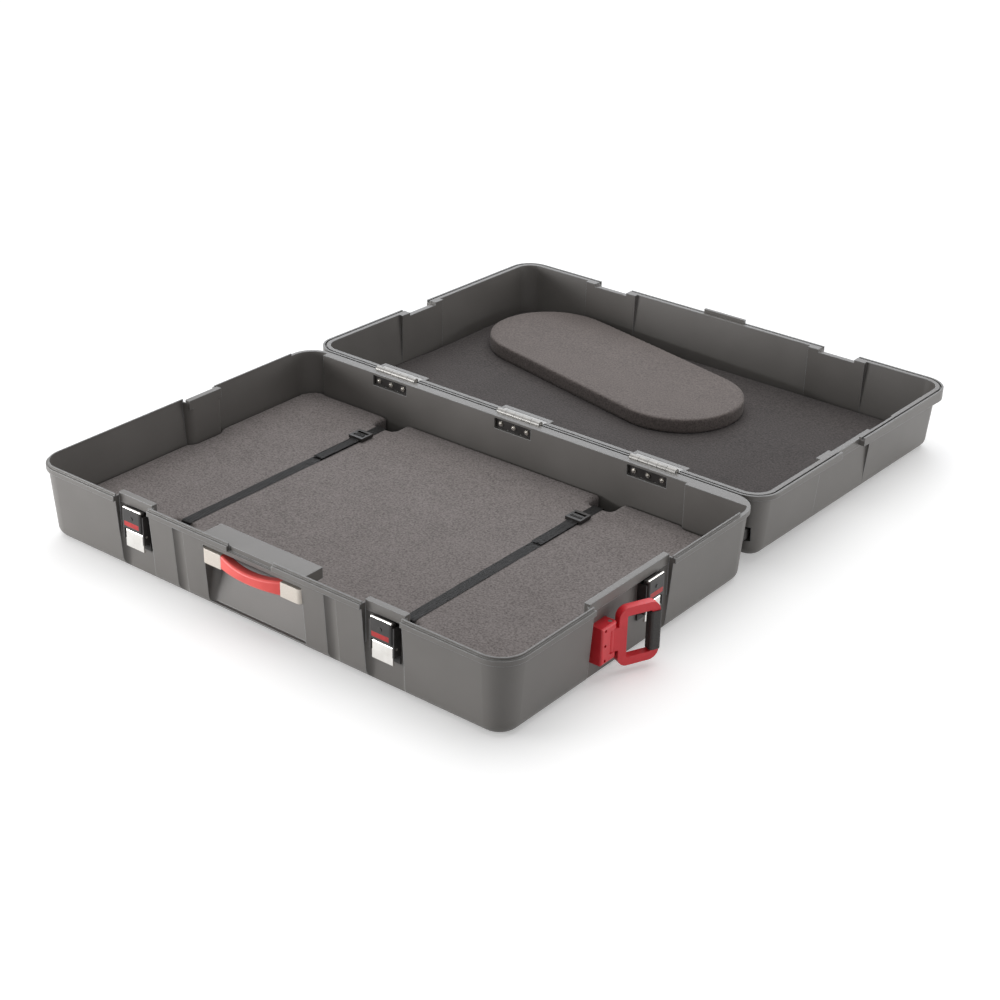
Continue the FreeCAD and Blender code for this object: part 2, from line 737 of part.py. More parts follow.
for tag, x in HINGES.items():
    lid_bulges.append(box(
        f"lid_hinge_bulge_{tag}",
        (f"{x} - hinge_width / 2 - wall * 2", f"{x} + hinge_width / 2 + wall * 2"),
        ("lid_near - overrun", "lid_near + lid_leaf_setback + hinge_bulge - leaf_setback"),
        ("lid_rim - leaf_height - wall * 2", "overrun")))
    lid_cuts.append(box(
        f"lid_hinge_seat_{tag}",
        (f"{x} - hinge_width / 2 - clearance", f"{x} + hinge_width / 2 + clearance"),
        ("lid_near - overrun", "lid_near + lid_leaf_setback"),
        ("lid_rim - leaf_height - clearance", "overrun")))
    lid_cuts.append(box(
        f"lid_hinge_window_{tag}", (f"{x} - window_half", f"{x} + window_half"),
        ("lid_near + lid_leaf_setback + hinge_bulge - leaf_setback - window_depth",
         "lid_near + lid_leaf_setback + hinge_bulge + overrun"),
        ("lid_rim - bolt_drop - window_height / 2", "lid_rim - bolt_drop + window_height / 2")))
    lid_cuts += bolt_holes(
        f"lid_bolt_hole_{tag}", x, "lid_near", "lid_near + lid_leaf_setback + hinge_bulge",
        "lid_rim - bolt_drop", "bolt_radius + running_fit")
lid_tub = cut("lid_tub", lid_outer, [cut("lid_cavity", lid_hollow, lid_bulges)])
centre_tab = box(
    "centre_tab", ("0 - centre_tab_half", "centre_tab_half"),
    ("lid_far - bead - wall + groove_play", "lid_far"),
    ("lid_rim - skirt_height / 2", "lid_rim + centre_tab_height"))

# The lid lies open and tips until its rounded far edge meets the ground
edge_reach = number("lid_far - lid_setback - draft - bottom_radius")
edge_drop = number("rim_gap + lid_depth - bottom_radius")
axis_rise = number("base_depth + rim_gap - bottom_radius")
tilt = math.asin(axis_rise / math.hypot(edge_reach, edge_drop)) - math.atan2(edge_drop, edge_reach)
hinge_axis = Vector(0, number("hinge_y"), number("base_depth + rim_gap"))
lid_place = Placement(hinge_axis, Rotation(Vector(1, 0, 0), -math.degrees(tilt)))
lid_lugs = wheel_lugs("lid", "lid_wheel_low", "lid_wheel_y", (
    "lid_wheel_y - wheel_axle_radius - wall * 2", "lid_wheel_y + well_half"))
keep(fuse("lid_shell", [cut("lid_recessed", lid_tub, lid_cuts), centre_tab, lid_lugs]), "lid_shell", lid_place)

# Hinges: two pressed leaves with rolled knuckles on one pin, bolted through each shell

KNUCKLES = {"base": (0, 2, 4), "lid": (1, 3)}


def knuckle_span(x, step):
    start = f"{x} - hinge_width / 2 + hinge_width / 5 * {step}"
    return f"{start} + knuckle_gap / 2", f"{start} + hinge_width / 5 - knuckle_gap / 2"


def leaf(name, side, x, plate_y, shelf_y, finger_y, axis_y, axis_z, top):
    """One leaf: an upright plate on the shell, a shelf under the rim and knuckles about the pin."""
    width = (f"{x} - hinge_width / 2", f"{x} + hinge_width / 2")
    shelf_z = (f"{top} - rim_gap - leaf_thickness", f"{top} - rim_gap")
    solids = [
        box(f"{name}_plate", width, plate_y, (f"{top} - leaf_height", f"{top} - rim_gap")),
        box(f"{name}_shelf", width, shelf_y, shelf_z),
    ]
    for step in KNUCKLES[side]:
        span = knuckle_span(x, step)
        solids.append(box(f"{name}_finger_{step}", span, finger_y, shelf_z))
        solids.append(cylinder(f"{name}_knuckle_{step}", "knuckle_radius", "x", *span, y=axis_y, z=axis_z))
    holes = bolt_holes(f"{name}_hole", x, f"({plate_y[0]}) - overrun", f"({plate_y[1]}) + overrun",
                       f"{top} - bolt_drop", "bolt_radius + running_fit")
    holes.append(cylinder(f"{name}_bore", "pin_radius + running_fit", "x", f"{width[0]} - overrun",
                          f"{width[1]} + overrun", y=axis_y, z=axis_z))
    return cut(name, fuse(f"{name}_solid", solids), holes)


def bolts(name, x, outside, inside, outward, height):
    """Three bolts of a leaf: a low round head outside and a six-sided nut in the window inside."""
    solids = []
    for step in BOLTS:
        at = f"({x}) + ({step}) * bolt_spacing"
        head = (outside, f"({outside}) + bolt_head")
        nut = (f"({inside}) - nut_height", inside)
        if outward < 0:
            head = (f"({outside}) - bolt_head", outside)
            nut = (inside, f"({inside}) + nut_height")
        shank = (nut[0], head[1]) if outward > 0 else (head[0], nut[1])
        six_sided = doc.addObject("Part::Prism", f"{name}_nut_{step + 1}")
        six_sided.Polygon = 6
        six_sided.Placement = Placement(Vector(), TURNS["y"])
        bind(six_sided, "Circumradius", "nut_radius")
        bind(six_sided, "Height", "nut_height")
        for axis, place in (("x", at), ("y", nut[0]), ("z", height)):
            bind(six_sided, f"Placement.Base.{axis}", place)
        solids.append(fuse(f"{name}_{step + 1}", [
            cylinder(f"{name}_head_{step + 1}", "bolt_head_radius", "y", *head, x=at, z=height),
            cylinder(f"{name}_shank_{step + 1}", "bolt_radius", "y", *shank, x=at, z=height),
            six_sided,
        ]))
    return solids


base_bolts, lid_bolts, hinge_pins = [], [], []
for tag, x in HINGES.items():
    keep(leaf(f"hinge_{tag}_base_leaf", "base", x,
              ("half_width - leaf_setback", "half_width - leaf_setback + leaf_thickness"),
              ("half_width - leaf_setback", "hinge_y - knuckle_radius - knuckle_gap"),
              ("hinge_y - knuckle_radius - knuckle_gap", "hinge_y"),
              "hinge_y", "base_depth + rim_gap", "base_depth"), f"hinge_{tag}_base_leaf")
    keep(leaf(f"hinge_{tag}_lid_leaf", "lid", x,
              ("lid_near + lid_leaf_setback - leaf_thickness", "lid_near + lid_leaf_setback"),
              ("knuckle_radius + knuckle_gap", "lid_near + lid_leaf_setback"),
              ("0", "knuckle_radius + knuckle_gap"), "0", "0", "lid_rim"), f"hinge_{tag}_lid_leaf", lid_place)
    hinge_pins.append(cylinder(
        f"hinge_{tag}_pin", "pin_radius", "x", f"{x} - hinge_width / 2", f"{x} + hinge_width / 2",
        y="hinge_y", z="base_depth + rim_gap"))
    base_bolts += bolts(f"base_bolt_{tag}", x, "half_width - leaf_setback + leaf_thickness",
                        "half_width - hinge_bulge + window_depth", 1, "base_depth - bolt_drop")
    lid_bolts += bolts(f"lid_bolt_{tag}", x, "lid_near + lid_leaf_setback - leaf_thickness",
                       "lid_near + lid_leaf_setback + hinge_bulge - leaf_setback - window_depth", -1,
                       "lid_rim - bolt_drop")
keep(group("hinge_pins", hinge_pins), "hinge_pins")
keep(group("hinge_bolts_base", base_bolts), "hinge_bolts_base")
keep(group("hinge_bolts_lid", lid_bolts), "hinge_bolts_lid", lid_place)


# Latches: a housing on the recess's back, a lever on an axle and a hook block that it pushes up.
# Each is drawn with its recess's back as the plane y = 0 and with the outside at -y.

LATCHES = {
    "front_left": (Vector(-number("latch_x"), number("recess_depth - half_width"), 0), 0),
    "front_right": (Vector(number("latch_x"), number("recess_depth - half_width"), 0), 0),
    "left": (Vector(number("recess_depth - half_length"), number("side_latch_y"), 0), -90),
    "right": (Vector(number("half_length - recess_depth"), number("side_latch_y"), 0), 90),
}
for tag, (spot, turn) in LATCHES.items():
    latch_place = Placement(spot, Rotation(Vector(0, 0, 1), turn))
    name = f"latch_{tag}"
    housing = [box(f"{name}_back", ("0 - housing_half", "housing_half"), ("0 - housing_plate", "0"),
                   ("housing_low", "housing_high"))]
    for side in (-1, 1):
        cheek_x = ("housing_half - cheek", "housing_half") if side > 0 else (
            "0 - housing_half", "cheek - housing_half")
        housing.append(box(f"{name}_cheek_{side + 1}", cheek_x, ("0 - cheek_reach", "0"),
                           ("cheek_low", "cheek_high")))
    axle_at = {"y": "0 - axle_reach", "z": "axle_height"}
    keep(cut(f"{name}_housing", fuse(f"{name}_housing_solid", housing), [cylinder(
        f"{name}_axle_hole", "axle_radius + running_fit", "x", "0 - housing_half - overrun",
        "housing_half + overrun", **axle_at)]), f"{name}_housing", latch_place)
    keep(cylinder(f"{name}_axle", "axle_radius", "x", "0 - housing_half", "housing_half", **axle_at),
         f"{name}_axle", latch_place)
    wide = ("0 - lever_half", "lever_half")
    keep(cut(f"{name}_lever", fuse(f"{name}_lever_solid", [
        box(f"{name}_lever_plate", wide,
            ("0 - axle_reach - lever_knuckle", "lever_plate - axle_reach - lever_knuckle"),
            ("lever_low", "axle_height")),
        cylinder(f"{name}_lever_knuckle", "lever_knuckle", "x", *wide, **axle_at),
        cylinder(f"{name}_lever_roll", "roll_radius", "x", *wide,
                 y="roll_radius - axle_reach - lever_knuckle", z="lever_low"),
    ]), [cylinder(f"{name}_lever_bore", "axle_radius + running_fit", "x", "0 - housing_half", "housing_half",
                  **axle_at)]), f"{name}_lever", latch_place)
    guided = ("cheek + slide_fit - housing_half", "housing_half - cheek - slide_fit")
    block = round_edges(
        f"{name}_block", box(f"{name}_block_solid", guided, ("0 - block_front", "0 - block_back"),
                             ("block_low", "block_high")), "block_edge",
        lambda edge: upright(edge) and edge.BoundBox.YMin < -number("block_back + block_edge"))
    marker_room = [("block_edge - lever_half", "lever_half - block_edge"),
                   ("0 - block_front", "marker_depth - block_front"),
                   ("block_low + marker_height / 2", "block_low + marker_height * 3 / 2")]
    bar_at = {"y": "bar_radius * 2 - block_front", "z": "block_high"}
    lock = cylinder(f"{name}_lock", "lock_radius", "y", "0 - block_front - lock_stand", "0 - block_back",
                    x="0", z="block_low + marker_height * 2 + lock_radius")
    keep(fuse(f"{name}_hook", [cut(f"{name}_hook_block", block, [
        box(f"{name}_marker_room", *marker_room),
        cylinder(f"{name}_bar_room", "bar_radius + running_fit", "x", "0 - housing_half", "housing_half",
                 **bar_at),
    ]), lock]), f"{name}_hook", latch_place)
    keep(box(f"{name}_marker", *marker_room), f"{name}_marker", latch_place)
    keep(cylinder(f"{name}_hook_bar", "bar_radius", "x", *wide, **bar_at), f"{name}_hook_bar", latch_place)

# Carry handle: a bowed grip between two end caps that stand in the recess from side to side

grip = doc.addObject("PartDesign::Body", "carry_grip")
grip_sketch = sketch_on(grip, "grip_outline", "XY_Plane", "grip_low")
grip_bend = "(grip_half ^ 2 + grip_bow ^ 2) / (2 * grip_bow)"
grip_faces = {"front": "grip_front - half_width", "back": "grip_front + grip_thickness - half_width"}
bows = []
for face, level_y in grip_faces.items():
    half, at_y, bend, bow = number("grip_half"), number(level_y), number(grip_bend), number("grip_bow")
    spread = math.asin(half / bend)
    circle = Part.Circle(Vector(0, at_y - bow + bend, 0), Vector(0, 0, 1), bend)
    bows.append(grip_sketch.addGeometry(
        Part.ArcOfCircle(circle, -math.pi / 2 - spread, -math.pi / 2 + spread)))
for end in (1, 2):
    tips = [grip_sketch.getPoint(bow, end) for bow in bows]
    side = grip_sketch.addGeometry(Part.LineSegment(*tips))
    constrain(grip_sketch, "Coincident", side, 1, bows[0], end)
    constrain(grip_sketch, "Coincident", side, 2, bows[1], end)
    constrain(grip_sketch, "Vertical", side)
    constrain(grip_sketch, "DistanceX", -1, 1, bows[0], end, size="grip_half" if end == 2 else "0 - grip_half")
for bow, level_y in zip(bows, grip_faces.values()):
    constrain(grip_sketch, "Radius", bow, size=grip_bend)
    constrain(grip_sketch, "DistanceY", -1, 1, bow, 1, size=level_y)
    constrain(grip_sketch, "Horizontal", bow, 1, bow, 2)
pad(grip, grip_sketch, "grip_height")
scoop_sketch = sketch_on(grip, "grip_scoop_outline", "XZ_Plane")
scoop_bend = "(grip_half ^ 2 + grip_scoop ^ 2) / (2 * grip_scoop)"
scoop_rise = f"grip_low + grip_height - grip_scoop + {scoop_bend}"
scoop = scoop_sketch.addGeometry(Part.Circle(
    Vector(0, number(scoop_rise), 0), Vector(0, 0, 1), number(scoop_bend)))
constrain(scoop_sketch, "PointOnObject", scoop, 3, -2)
constrain(scoop_sketch, "DistanceY", -1, 1, scoop, 3, size=scoop_rise)
constrain(scoop_sketch, "Radius", scoop, size=scoop_bend)
scooped = grip.newObject("PartDesign::Pocket", "grip_scooped")
scooped.Profile = scoop_sketch
scooped.Type = "ThroughAll"
scooped.Midplane = True
doc.recompute()
soften(grip, scooped, "grip_edge", lambda edge: edge.BoundBox.XLength > number("grip_half"))
keep(grip, "carry_handle_grip")
for tag, side in (("left", -1), ("right", 1)):
    span = ("grip_half", "handle_recess_half") if side > 0 else ("0 - handle_recess_half", "0 - grip_half")
    cap = box(f"carry_cap_{tag}_solid", span, tuple(grip_faces.values()),
              ("grip_low", "grip_low + grip_height"))
    outer = number("handle_recess_half - cap_edge") * side
    keep(round_edges(
        f"carry_cap_{tag}", cap, "cap_edge",
        lambda edge: upright(edge) and edge.BoundBox.XMin * side > outer * side
        and edge.BoundBox.YMin < number("grip_front + cap_edge - half_width")), f"carry_handle_cap_{tag}")

# Tow handle: a bracket on the short wall and a D-shaped frame that swings out on an upright pin

tow_axis_x = "half_length - recess_depth + tow_pivot_reach"
bracket = round_edges(
    "bracket_rounded", box(
        "bracket_block", ("half_length - recess_depth", "half_length - recess_depth + bracket_reach"),
        ("bracket_start", "bracket_end"), ("bracket_low", "bracket_high")), "bracket_edge",
    lambda edge: edge.BoundBox.XMin > number("half_length - recess_depth + bracket_edge"))
bracket_cuts = [
    box("bracket_slot", ("half_length - recess_depth - overrun", "half_length + overrun"),
        ("tow_pivot_y - tow_barrel_radius - tow_swing_gap", "bracket_end + overrun"),
        ("bracket_slot_low - clearance", "bracket_slot_high + clearance")),
    cylinder("bracket_bore", "tow_pin_radius + running_fit", "z", "bracket_low - overrun",
             "bracket_high + overrun", x=tow_axis_x, y="tow_pivot_y"),
]
for step, height in enumerate((
        "(bracket_low + bracket_slot_low) / 2", "(bracket_slot_low + bracket_slot_high) / 2",
        "(bracket_slot_high + bracket_high) / 2")):
    bracket_cuts.append(cylinder(
        f"bracket_screw_hole_{step}", "bracket_hole", "x",
        "half_length - recess_depth + bracket_reach - bracket_hole_depth", "half_length + overrun",
        y="bracket_hole_y", z=height))
keep(cut("tow_bracket", bracket, bracket_cuts), "tow_bracket")
keep(cylinder("tow_pin", "tow_pin_radius", "z", "bracket_low", "bracket_high", x=tow_axis_x, y="tow_pivot_y"),
     "tow_pin")

tow_place = Placement(Vector(number(tow_axis_x), number("tow_pivot_y"), 0),
                      Rotation(Vector(0, 0, 1), -number("tow_rest_angle")))


def frame_ring(name, inset, thickness):
    """A rounded upright block about the frame's middle plane, drawn in by an inset."""
    body = doc.addObject("PartDesign::Body", name)
    sketch = sketch_on(body, name + "_outline", "YZ_Plane")
    rounded_outline(sketch, f"frame_from_pivot + {inset}", f"frame_reach - ({inset})",
                    f"frame_low + {inset}", f"frame_high - ({inset})", f"frame_corner - ({inset})")
    feature = pad(body, sketch, thickness)
    feature.Midplane = True
    return body


tow_frame_shape = fuse("tow_frame_solid", [
    cut("tow_ring", frame_ring("tow_ring_outer", "0", "frame_thickness"),
        [frame_ring("tow_ring_inner", "frame_bar", "frame_thickness * 2")]),
    cylinder("tow_barrel", "tow_barrel_radius", "z", "bracket_slot_low", "bracket_slot_high", x="0", y="0"),
    box("tow_web", ("0 - frame_thickness / 2", "frame_thickness / 2"),
        ("0", "frame_from_pivot + frame_bar / 2"), ("bracket_slot_low", "bracket_slot_high")),
])
tow_bore = cylinder("tow_bore", "tow_pin_radius + running_fit", "z", "frame_low", "frame_high", x="0", y="0")
keep(cut("tow_frame", tow_frame_shape, [tow_bore]), "tow_frame", tow_place)
sleeve = round_edges(
    "tow_sleeve_rounded", box(
        "tow_sleeve", ("0 - frame_thickness / 2 - tow_grip_bulge", "frame_thickness / 2 + tow_grip_bulge"),
        ("frame_reach - frame_bar - tow_grip_bulge", "frame_reach + tow_grip_bulge"),
        ("frame_low + frame_corner", "frame_high - frame_corner")), "tow_grip_bulge * 2", upright)
keep(cut("tow_grip", sleeve, [box(
    "tow_sleeve_room", ("0 - frame_thickness / 2", "frame_thickness / 2"),
    ("frame_reach - frame_bar", "frame_reach"), ("frame_low", "frame_high"))]), "tow_grip", tow_place)

# Foam: a sheet in the floor of each shell and a loose pad that lies in the lid

foam_cuts = base_bulges("foam_room", "wall + foam_gap") + [hinge_wall("foam_hinge_room", "foam_gap")]
for tag, x in STRAPS.items():
    for end, reach in (("front", ("strap_front_y - slot_reach", "strap_front_y")),
                       ("hinge", ("strap_hinge_y", "half_width"))):
        foam_cuts.append(box(f"foam_slot_{end}_{tag}", (f"{x} - slot_half", f"{x} + slot_half"), reach,
                             ("0", "foam_top + overrun")))
base_foam_block = rounded_block(
    "base_foam_block", "bead + wall + foam_gap + draft * (base_depth - foam_top) / base_depth", "foam_top",
    "foam", "0 - half_width", "half_width", "draft * foam / base_depth", "bottom_radius - wall + foam_gap")
keep(cut("base_foam", base_foam_block, foam_cuts), "base_foam")
lid_foam_block = rounded_block(
    "lid_foam_block",
    "lid_setback + wall + foam_gap + draft * (lid_depth - wall - lid_foam_thickness) / lid_depth",
    "lid_foam_top", "lid_foam_thickness", "lid_near", "lid_far", "draft * lid_foam_thickness / lid_depth",
    "bottom_radius - wall + foam_gap")
keep(cut("lid_foam", lid_foam_block, [lid_well("lid_foam_room", "wall + foam_gap")]), "lid_foam", lid_place)
pad_body = doc.addObject("PartDesign::Body", "pad_body")
pad_sketch = sketch_on(pad_body, "pad_outline", "XY_Plane", "lid_foam_top + clearance")
rounded_outline(pad_sketch, "0 - pad_length / 2", "pad_length / 2", "0 - pad_width / 2", "pad_width / 2",
                "pad_corner")
pad_feature = pad(pad_body, pad_sketch, "pad_thickness")
soften(pad_body, pad_feature, "pad_edge", lambda edge: not upright(edge))
pad_place = Placement(Vector(number("pad_x"), number("pad_from_hinge"), 0),
                      Rotation(Vector(0, 0, 1), number("pad_turn")))
keep(pad_body, "centre_pad", lid_place.multiply(pad_place))

# Straps: webbing over the base foam, down through slots to plates riveted on the floor, with a buckle

anchors, rivets = [], []
for tag, x in STRAPS.items():
    wide = (f"{x} - strap_width / 2", f"{x} + strap_width / 2")
    plate_wide = (f"{x} - strap_width / 2 - rivet_radius", f"{x} + strap_width / 2 + rivet_radius")
    foot_z = ("wall + anchor_thickness", "wall + anchor_thickness + strap_thickness")
    strap = [box(f"strap_run_{tag}", wide,
                 ("strap_front_y - strap_thickness", "strap_hinge_y + strap_thickness"),
                 ("foam_top", "foam_top + strap_thickness"))]
    for end, leg, foot in (
            ("front", ("strap_front_y - strap_thickness", "strap_front_y"),
             ("strap_front_y - anchor_length", "strap_front_y")),
            ("hinge", ("strap_hinge_y", "strap_hinge_y + strap_thickness"),
             ("strap_hinge_y", "strap_hinge_y + anchor_length"))):
        strap.append(box(f"strap_leg_{end}_{tag}", wide, leg,
                         ("wall + anchor_thickness", "foam_top + strap_thickness")))
        strap.append(box(f"strap_foot_{end}_{tag}", wide, foot, foot_z))
        anchors.append(box(f"anchor_{end}_{tag}", plate_wide, foot, ("wall", "wall + anchor_thickness")))
        for side in (-1, 1):
            rivets.append(cylinder(
                f"rivet_{end}_{tag}_{side + 1}", "rivet_radius", "z", foot_z[1], f"{foot_z[1]} + rivet_height",
                x=f"{x} + ({side}) * strap_width / 4", y=f"(({foot[0]}) + ({foot[1]})) / 2"))
    keep(fuse(f"strap_{tag}", strap), f"strap_{tag}")
    buckle_z = ("foam_top + strap_thickness", "foam_top + strap_thickness + buckle_height")
    windows = []
    for side in (-1, 1):
        middle = f"buckle_y + ({side}) * (buckle_length - buckle_bar) / 4"
        reach = "(buckle_length - buckle_bar * 3) / 4"
        windows.append(box(f"buckle_window_{tag}_{side + 1}",
                           (f"{x} - buckle_half + buckle_rail", f"{x} + buckle_half - buckle_rail"),
                           (f"{middle} - {reach}", f"{middle} + {reach}"), ("0", "base_depth")))
    keep(cut(f"buckle_{tag}", box(
        f"buckle_frame_{tag}", (f"{x} - buckle_half", f"{x} + buckle_half"),
        ("buckle_y - buckle_length / 2", "buckle_y + buckle_length / 2"), buckle_z), windows),
        f"strap_buckle_{tag}")
keep(group("strap_anchors", anchors), "strap_anchors")
keep(group("strap_rivets", rivets), "strap_rivets")

# Transport wheels: one in each shell at the tow handle's end, on axles that stand across the wells

for tag, low, y, place in (("base", "wheel_low", "wheel_y", None),
                           ("lid", "lid_wheel_low", "lid_wheel_y", lid_place)):
    at = {"x": "wheel_x", "y": y}
    high = f"{low} + wheel_width"
    tyre = round_edges(f"wheel_{tag}_tyre", cylinder(
        f"wheel_{tag}_disc", "wheel_radius", "z", low, high, **at), "wheel_edge",
        lambda edge: not upright(edge))
    keep(cut(f"wheel_{tag}", tyre, [
        cylinder(f"wheel_{tag}_hub_low", "hub_radius", "z", f"{low} - overrun", f"{low} + hub_recess", **at),
        cylinder(f"wheel_{tag}_hub_high", "hub_radius", "z", f"{high} - hub_recess", f"{high} + overrun",
                 **at),
        cylinder(f"wheel_{tag}_bore", "wheel_axle_radius + running_fit", "z", f"{low} - overrun",
                 f"{high} + overrun", **at),
    ]), f"wheel_{tag}", place)
    keep(cylinder(f"wheel_{tag}_axle", "wheel_axle_radius", "z", f"{low} - well_play", f"{high} + well_play",
                  **at), f"wheel_{tag}_axle", place)

doc.recompute()
for thing in doc.Objects:
    if "Invalid" in thing.State or "Error" in thing.State:
        raise RuntimeError(f"{thing.Name} did not build: {thing.State}")
for piece in parts:
    if piece.Shape.isNull() or not piece.Shape.isValid():
        raise RuntimeError(f"{piece.Label} is not a sound shape")
os.makedirs("parts", exist_ok=True)
for piece in parts:
    piece.Shape.exportStep(f"parts/{piece.Label}.step")
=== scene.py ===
import bmesh
import bpy
import math
from mathutils import Matrix, Vector, noise


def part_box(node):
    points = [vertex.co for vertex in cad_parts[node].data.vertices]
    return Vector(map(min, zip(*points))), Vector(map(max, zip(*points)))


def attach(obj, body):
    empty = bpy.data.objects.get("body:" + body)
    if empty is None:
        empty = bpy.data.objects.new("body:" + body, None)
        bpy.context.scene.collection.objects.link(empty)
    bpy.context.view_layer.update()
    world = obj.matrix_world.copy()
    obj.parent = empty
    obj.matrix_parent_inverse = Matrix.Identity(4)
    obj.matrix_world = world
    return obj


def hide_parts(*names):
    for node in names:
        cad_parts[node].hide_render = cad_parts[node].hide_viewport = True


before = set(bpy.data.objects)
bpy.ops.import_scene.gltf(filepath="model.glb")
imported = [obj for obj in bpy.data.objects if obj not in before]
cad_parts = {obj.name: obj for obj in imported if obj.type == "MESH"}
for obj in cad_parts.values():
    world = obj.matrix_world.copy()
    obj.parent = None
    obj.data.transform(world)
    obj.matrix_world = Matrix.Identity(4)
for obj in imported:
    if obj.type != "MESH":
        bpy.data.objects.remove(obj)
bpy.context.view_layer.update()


# Base and lid shells: two deep tubs, each moulded in one piece of polyethylene with its rim bead, its latch
# and handle recesses and its wheel well. Every other part is bolted, riveted or clipped to one of them.
MM = 0.001


def linear(hex_colour):
    """A colour written as sRGB hex, in the linear values that shaders take."""
    shares = [int(hex_colour[start:start + 2], 16) / 255 for start in (1, 3, 5)]
    return [share / 12.92 if share <= 0.04045 else ((share + 0.055) / 1.055) ** 2.4 for share in shares] + [1]


def new_material(name):
    """An empty material, whose nodes are added one by one."""
    material = bpy.data.materials.new(name)
    material.use_nodes = True
    material.node_tree.nodes.clear()
    return material


def add_node(material, kind, sockets=(), stops=(), **settings):
    """A shader node with its settings, its socket values or links, and the colour stops of a ramp."""
    tree = material.node_tree
    made = tree.nodes.new("ShaderNode" + kind)
    for name, value in settings.items():
        setattr(made, name, value)
    for name, value in dict(sockets).items():
        if isinstance(value, bpy.types.NodeSocket):
            tree.links.new(value, made.inputs[name])
        else:
            made.inputs[name].default_value = value
    while stops and len(made.color_ramp.elements) < len(stops):
        made.color_ramp.elements.new(1)
    for stop, (position, colour) in zip(made.color_ramp.elements if stops else (), stops):
        stop.position = position
        stop.color = linear(colour)
    return made


def dress(material, *nodes):
    """Gives CAD nodes that material."""
    for node in nodes:
        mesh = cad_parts[node].data
        mesh.materials.clear()
        mesh.materials.append(material)


# Moulded polyethylene: a satin grey skin with a fine spark-eroded grain, cloudy by a few percent, paler and
# cooler in patches along its rounded edges, partly rubbed wear and partly a painted highlight on the edges.
# The grain is near 0.4 mm and is drawn at 3 mm so that it shows.
GRAIN = 3 * MM
GRAIN_DEPTH = 0.3 * MM
CLOUD = 180 * MM
WEAR_AND_HIGHLIGHT_PATCH = 14 * MM
MOULD_EDGE = 2 * MM
# The cosine between a face and its rounded edge where the paling, part wear and part painted highlight,
# begins, and where it is full.
EDGE_WEAR_AND_HIGHLIGHT_BEGINS = 0.995
EDGE_WEAR_AND_HIGHLIGHT_FULL = 0.86
shell_plastic = new_material("moulded_grey_polyethylene")
place = add_node(shell_plastic, "TexCoord").outputs["Object"]
grain = add_node(shell_plastic, "TexNoise", {"Vector": place, "Scale": 1 / GRAIN, "Detail": 2})
cloud = add_node(shell_plastic, "TexNoise", {"Vector": place, "Scale": 1 / CLOUD, "Detail": 3})
wear_and_highlight_patches = add_node(shell_plastic, "TexNoise", {"Vector": place, "Scale": 1 / WEAR_AND_HIGHLIGHT_PATCH, "Detail": 4})
edge = add_node(shell_plastic, "Bevel", {"Radius": MOULD_EDGE}, samples=6)
face = add_node(shell_plastic, "NewGeometry")
turn = add_node(shell_plastic, "VectorMath", {0: edge.outputs["Normal"], 1: face.outputs["Normal"]},
                operation="DOT_PRODUCT")
edge_wear_and_highlight = add_node(shell_plastic, "MapRange", {
    "Value": turn.outputs["Value"], "From Min": EDGE_WEAR_AND_HIGHLIGHT_BEGINS, "From Max": EDGE_WEAR_AND_HIGHLIGHT_FULL})
patchy_wear_and_highlight = add_node(shell_plastic, "Math", {0: edge_wear_and_highlight.outputs["Result"], 1: wear_and_highlight_patches.outputs["Fac"]},
                operation="MULTIPLY")
grey = add_node(shell_plastic, "ValToRGB", {"Fac": cloud.outputs["Fac"]},
                stops=((0.3, "#686562"), (0.7, "#726F6C")))
# Paler, cooler edges: partly rubbed wear, partly a painted highlight standing in for the light the edges
# catch.
pale = add_node(shell_plastic, "MixRGB", {
    "Fac": patchy_wear_and_highlight.outputs["Value"], "Color1": grey.outputs["Color"], "Color2": linear("#BBC0C3")})
gloss = add_node(shell_plastic, "MapRange", {"Value": cloud.outputs["Fac"], "To Min": 0.36, "To Max": 0.48})
bump = add_node(shell_plastic, "Bump", {
    "Height": grain.outputs["Fac"], "Strength": 0.18, "Distance": GRAIN_DEPTH,
    "Normal": edge.outputs["Normal"]})
skin = add_node(shell_plastic, "BsdfPrincipled", {
    "Base Color": pale.outputs["Color"], "Roughness": gloss.outputs["Result"], "IOR": 1.51,
    "Normal": bump.outputs["Normal"]})
add_node(shell_plastic, "OutputMaterial", {"Surface": skin.outputs["BSDF"]})
dress(shell_plastic, "base_shell", "lid_shell")


# Foam sheets: one cut sheet of charcoal polyether foam on the floor of each tub, trimmed round the recesses
# and the wheel wells and glued down. The lid's sheet is given darker tones than the base's.
SHEET_VOXEL = 6 * MM
EASE_ROUNDS = 2
EASE_SHARE = 0.5
FOAM_WAVE = 160 * MM
FOAM_DIP = 0.9 * MM


def soft_copy(name, node, voxel):
    """A soft piece with the outline of a CAD solid: edges eased, and the faces dipping very slightly."""
    piece = bpy.data.objects.new(name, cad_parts[node].data.copy())
    bpy.context.scene.collection.objects.link(piece)
    remesh = piece.modifiers.new("even_faces", "REMESH")
    remesh.mode = "VOXEL"
    remesh.voxel_size = voxel
    ease = piece.modifiers.new("eased_edges", "SMOOTH")
    ease.factor = EASE_SHARE
    ease.iterations = EASE_ROUNDS
    graph = bpy.context.evaluated_depsgraph_get()
    mesh = bpy.data.meshes.new_from_object(piece.evaluated_get(graph))
    piece.modifiers.clear()
    piece.data = mesh
    for vertex in mesh.vertices:
        vertex.co.z += FOAM_DIP * (noise.noise(vertex.co / FOAM_WAVE) - 1) / 2
    mesh.shade_smooth()
    mesh.materials.clear()
    return piece


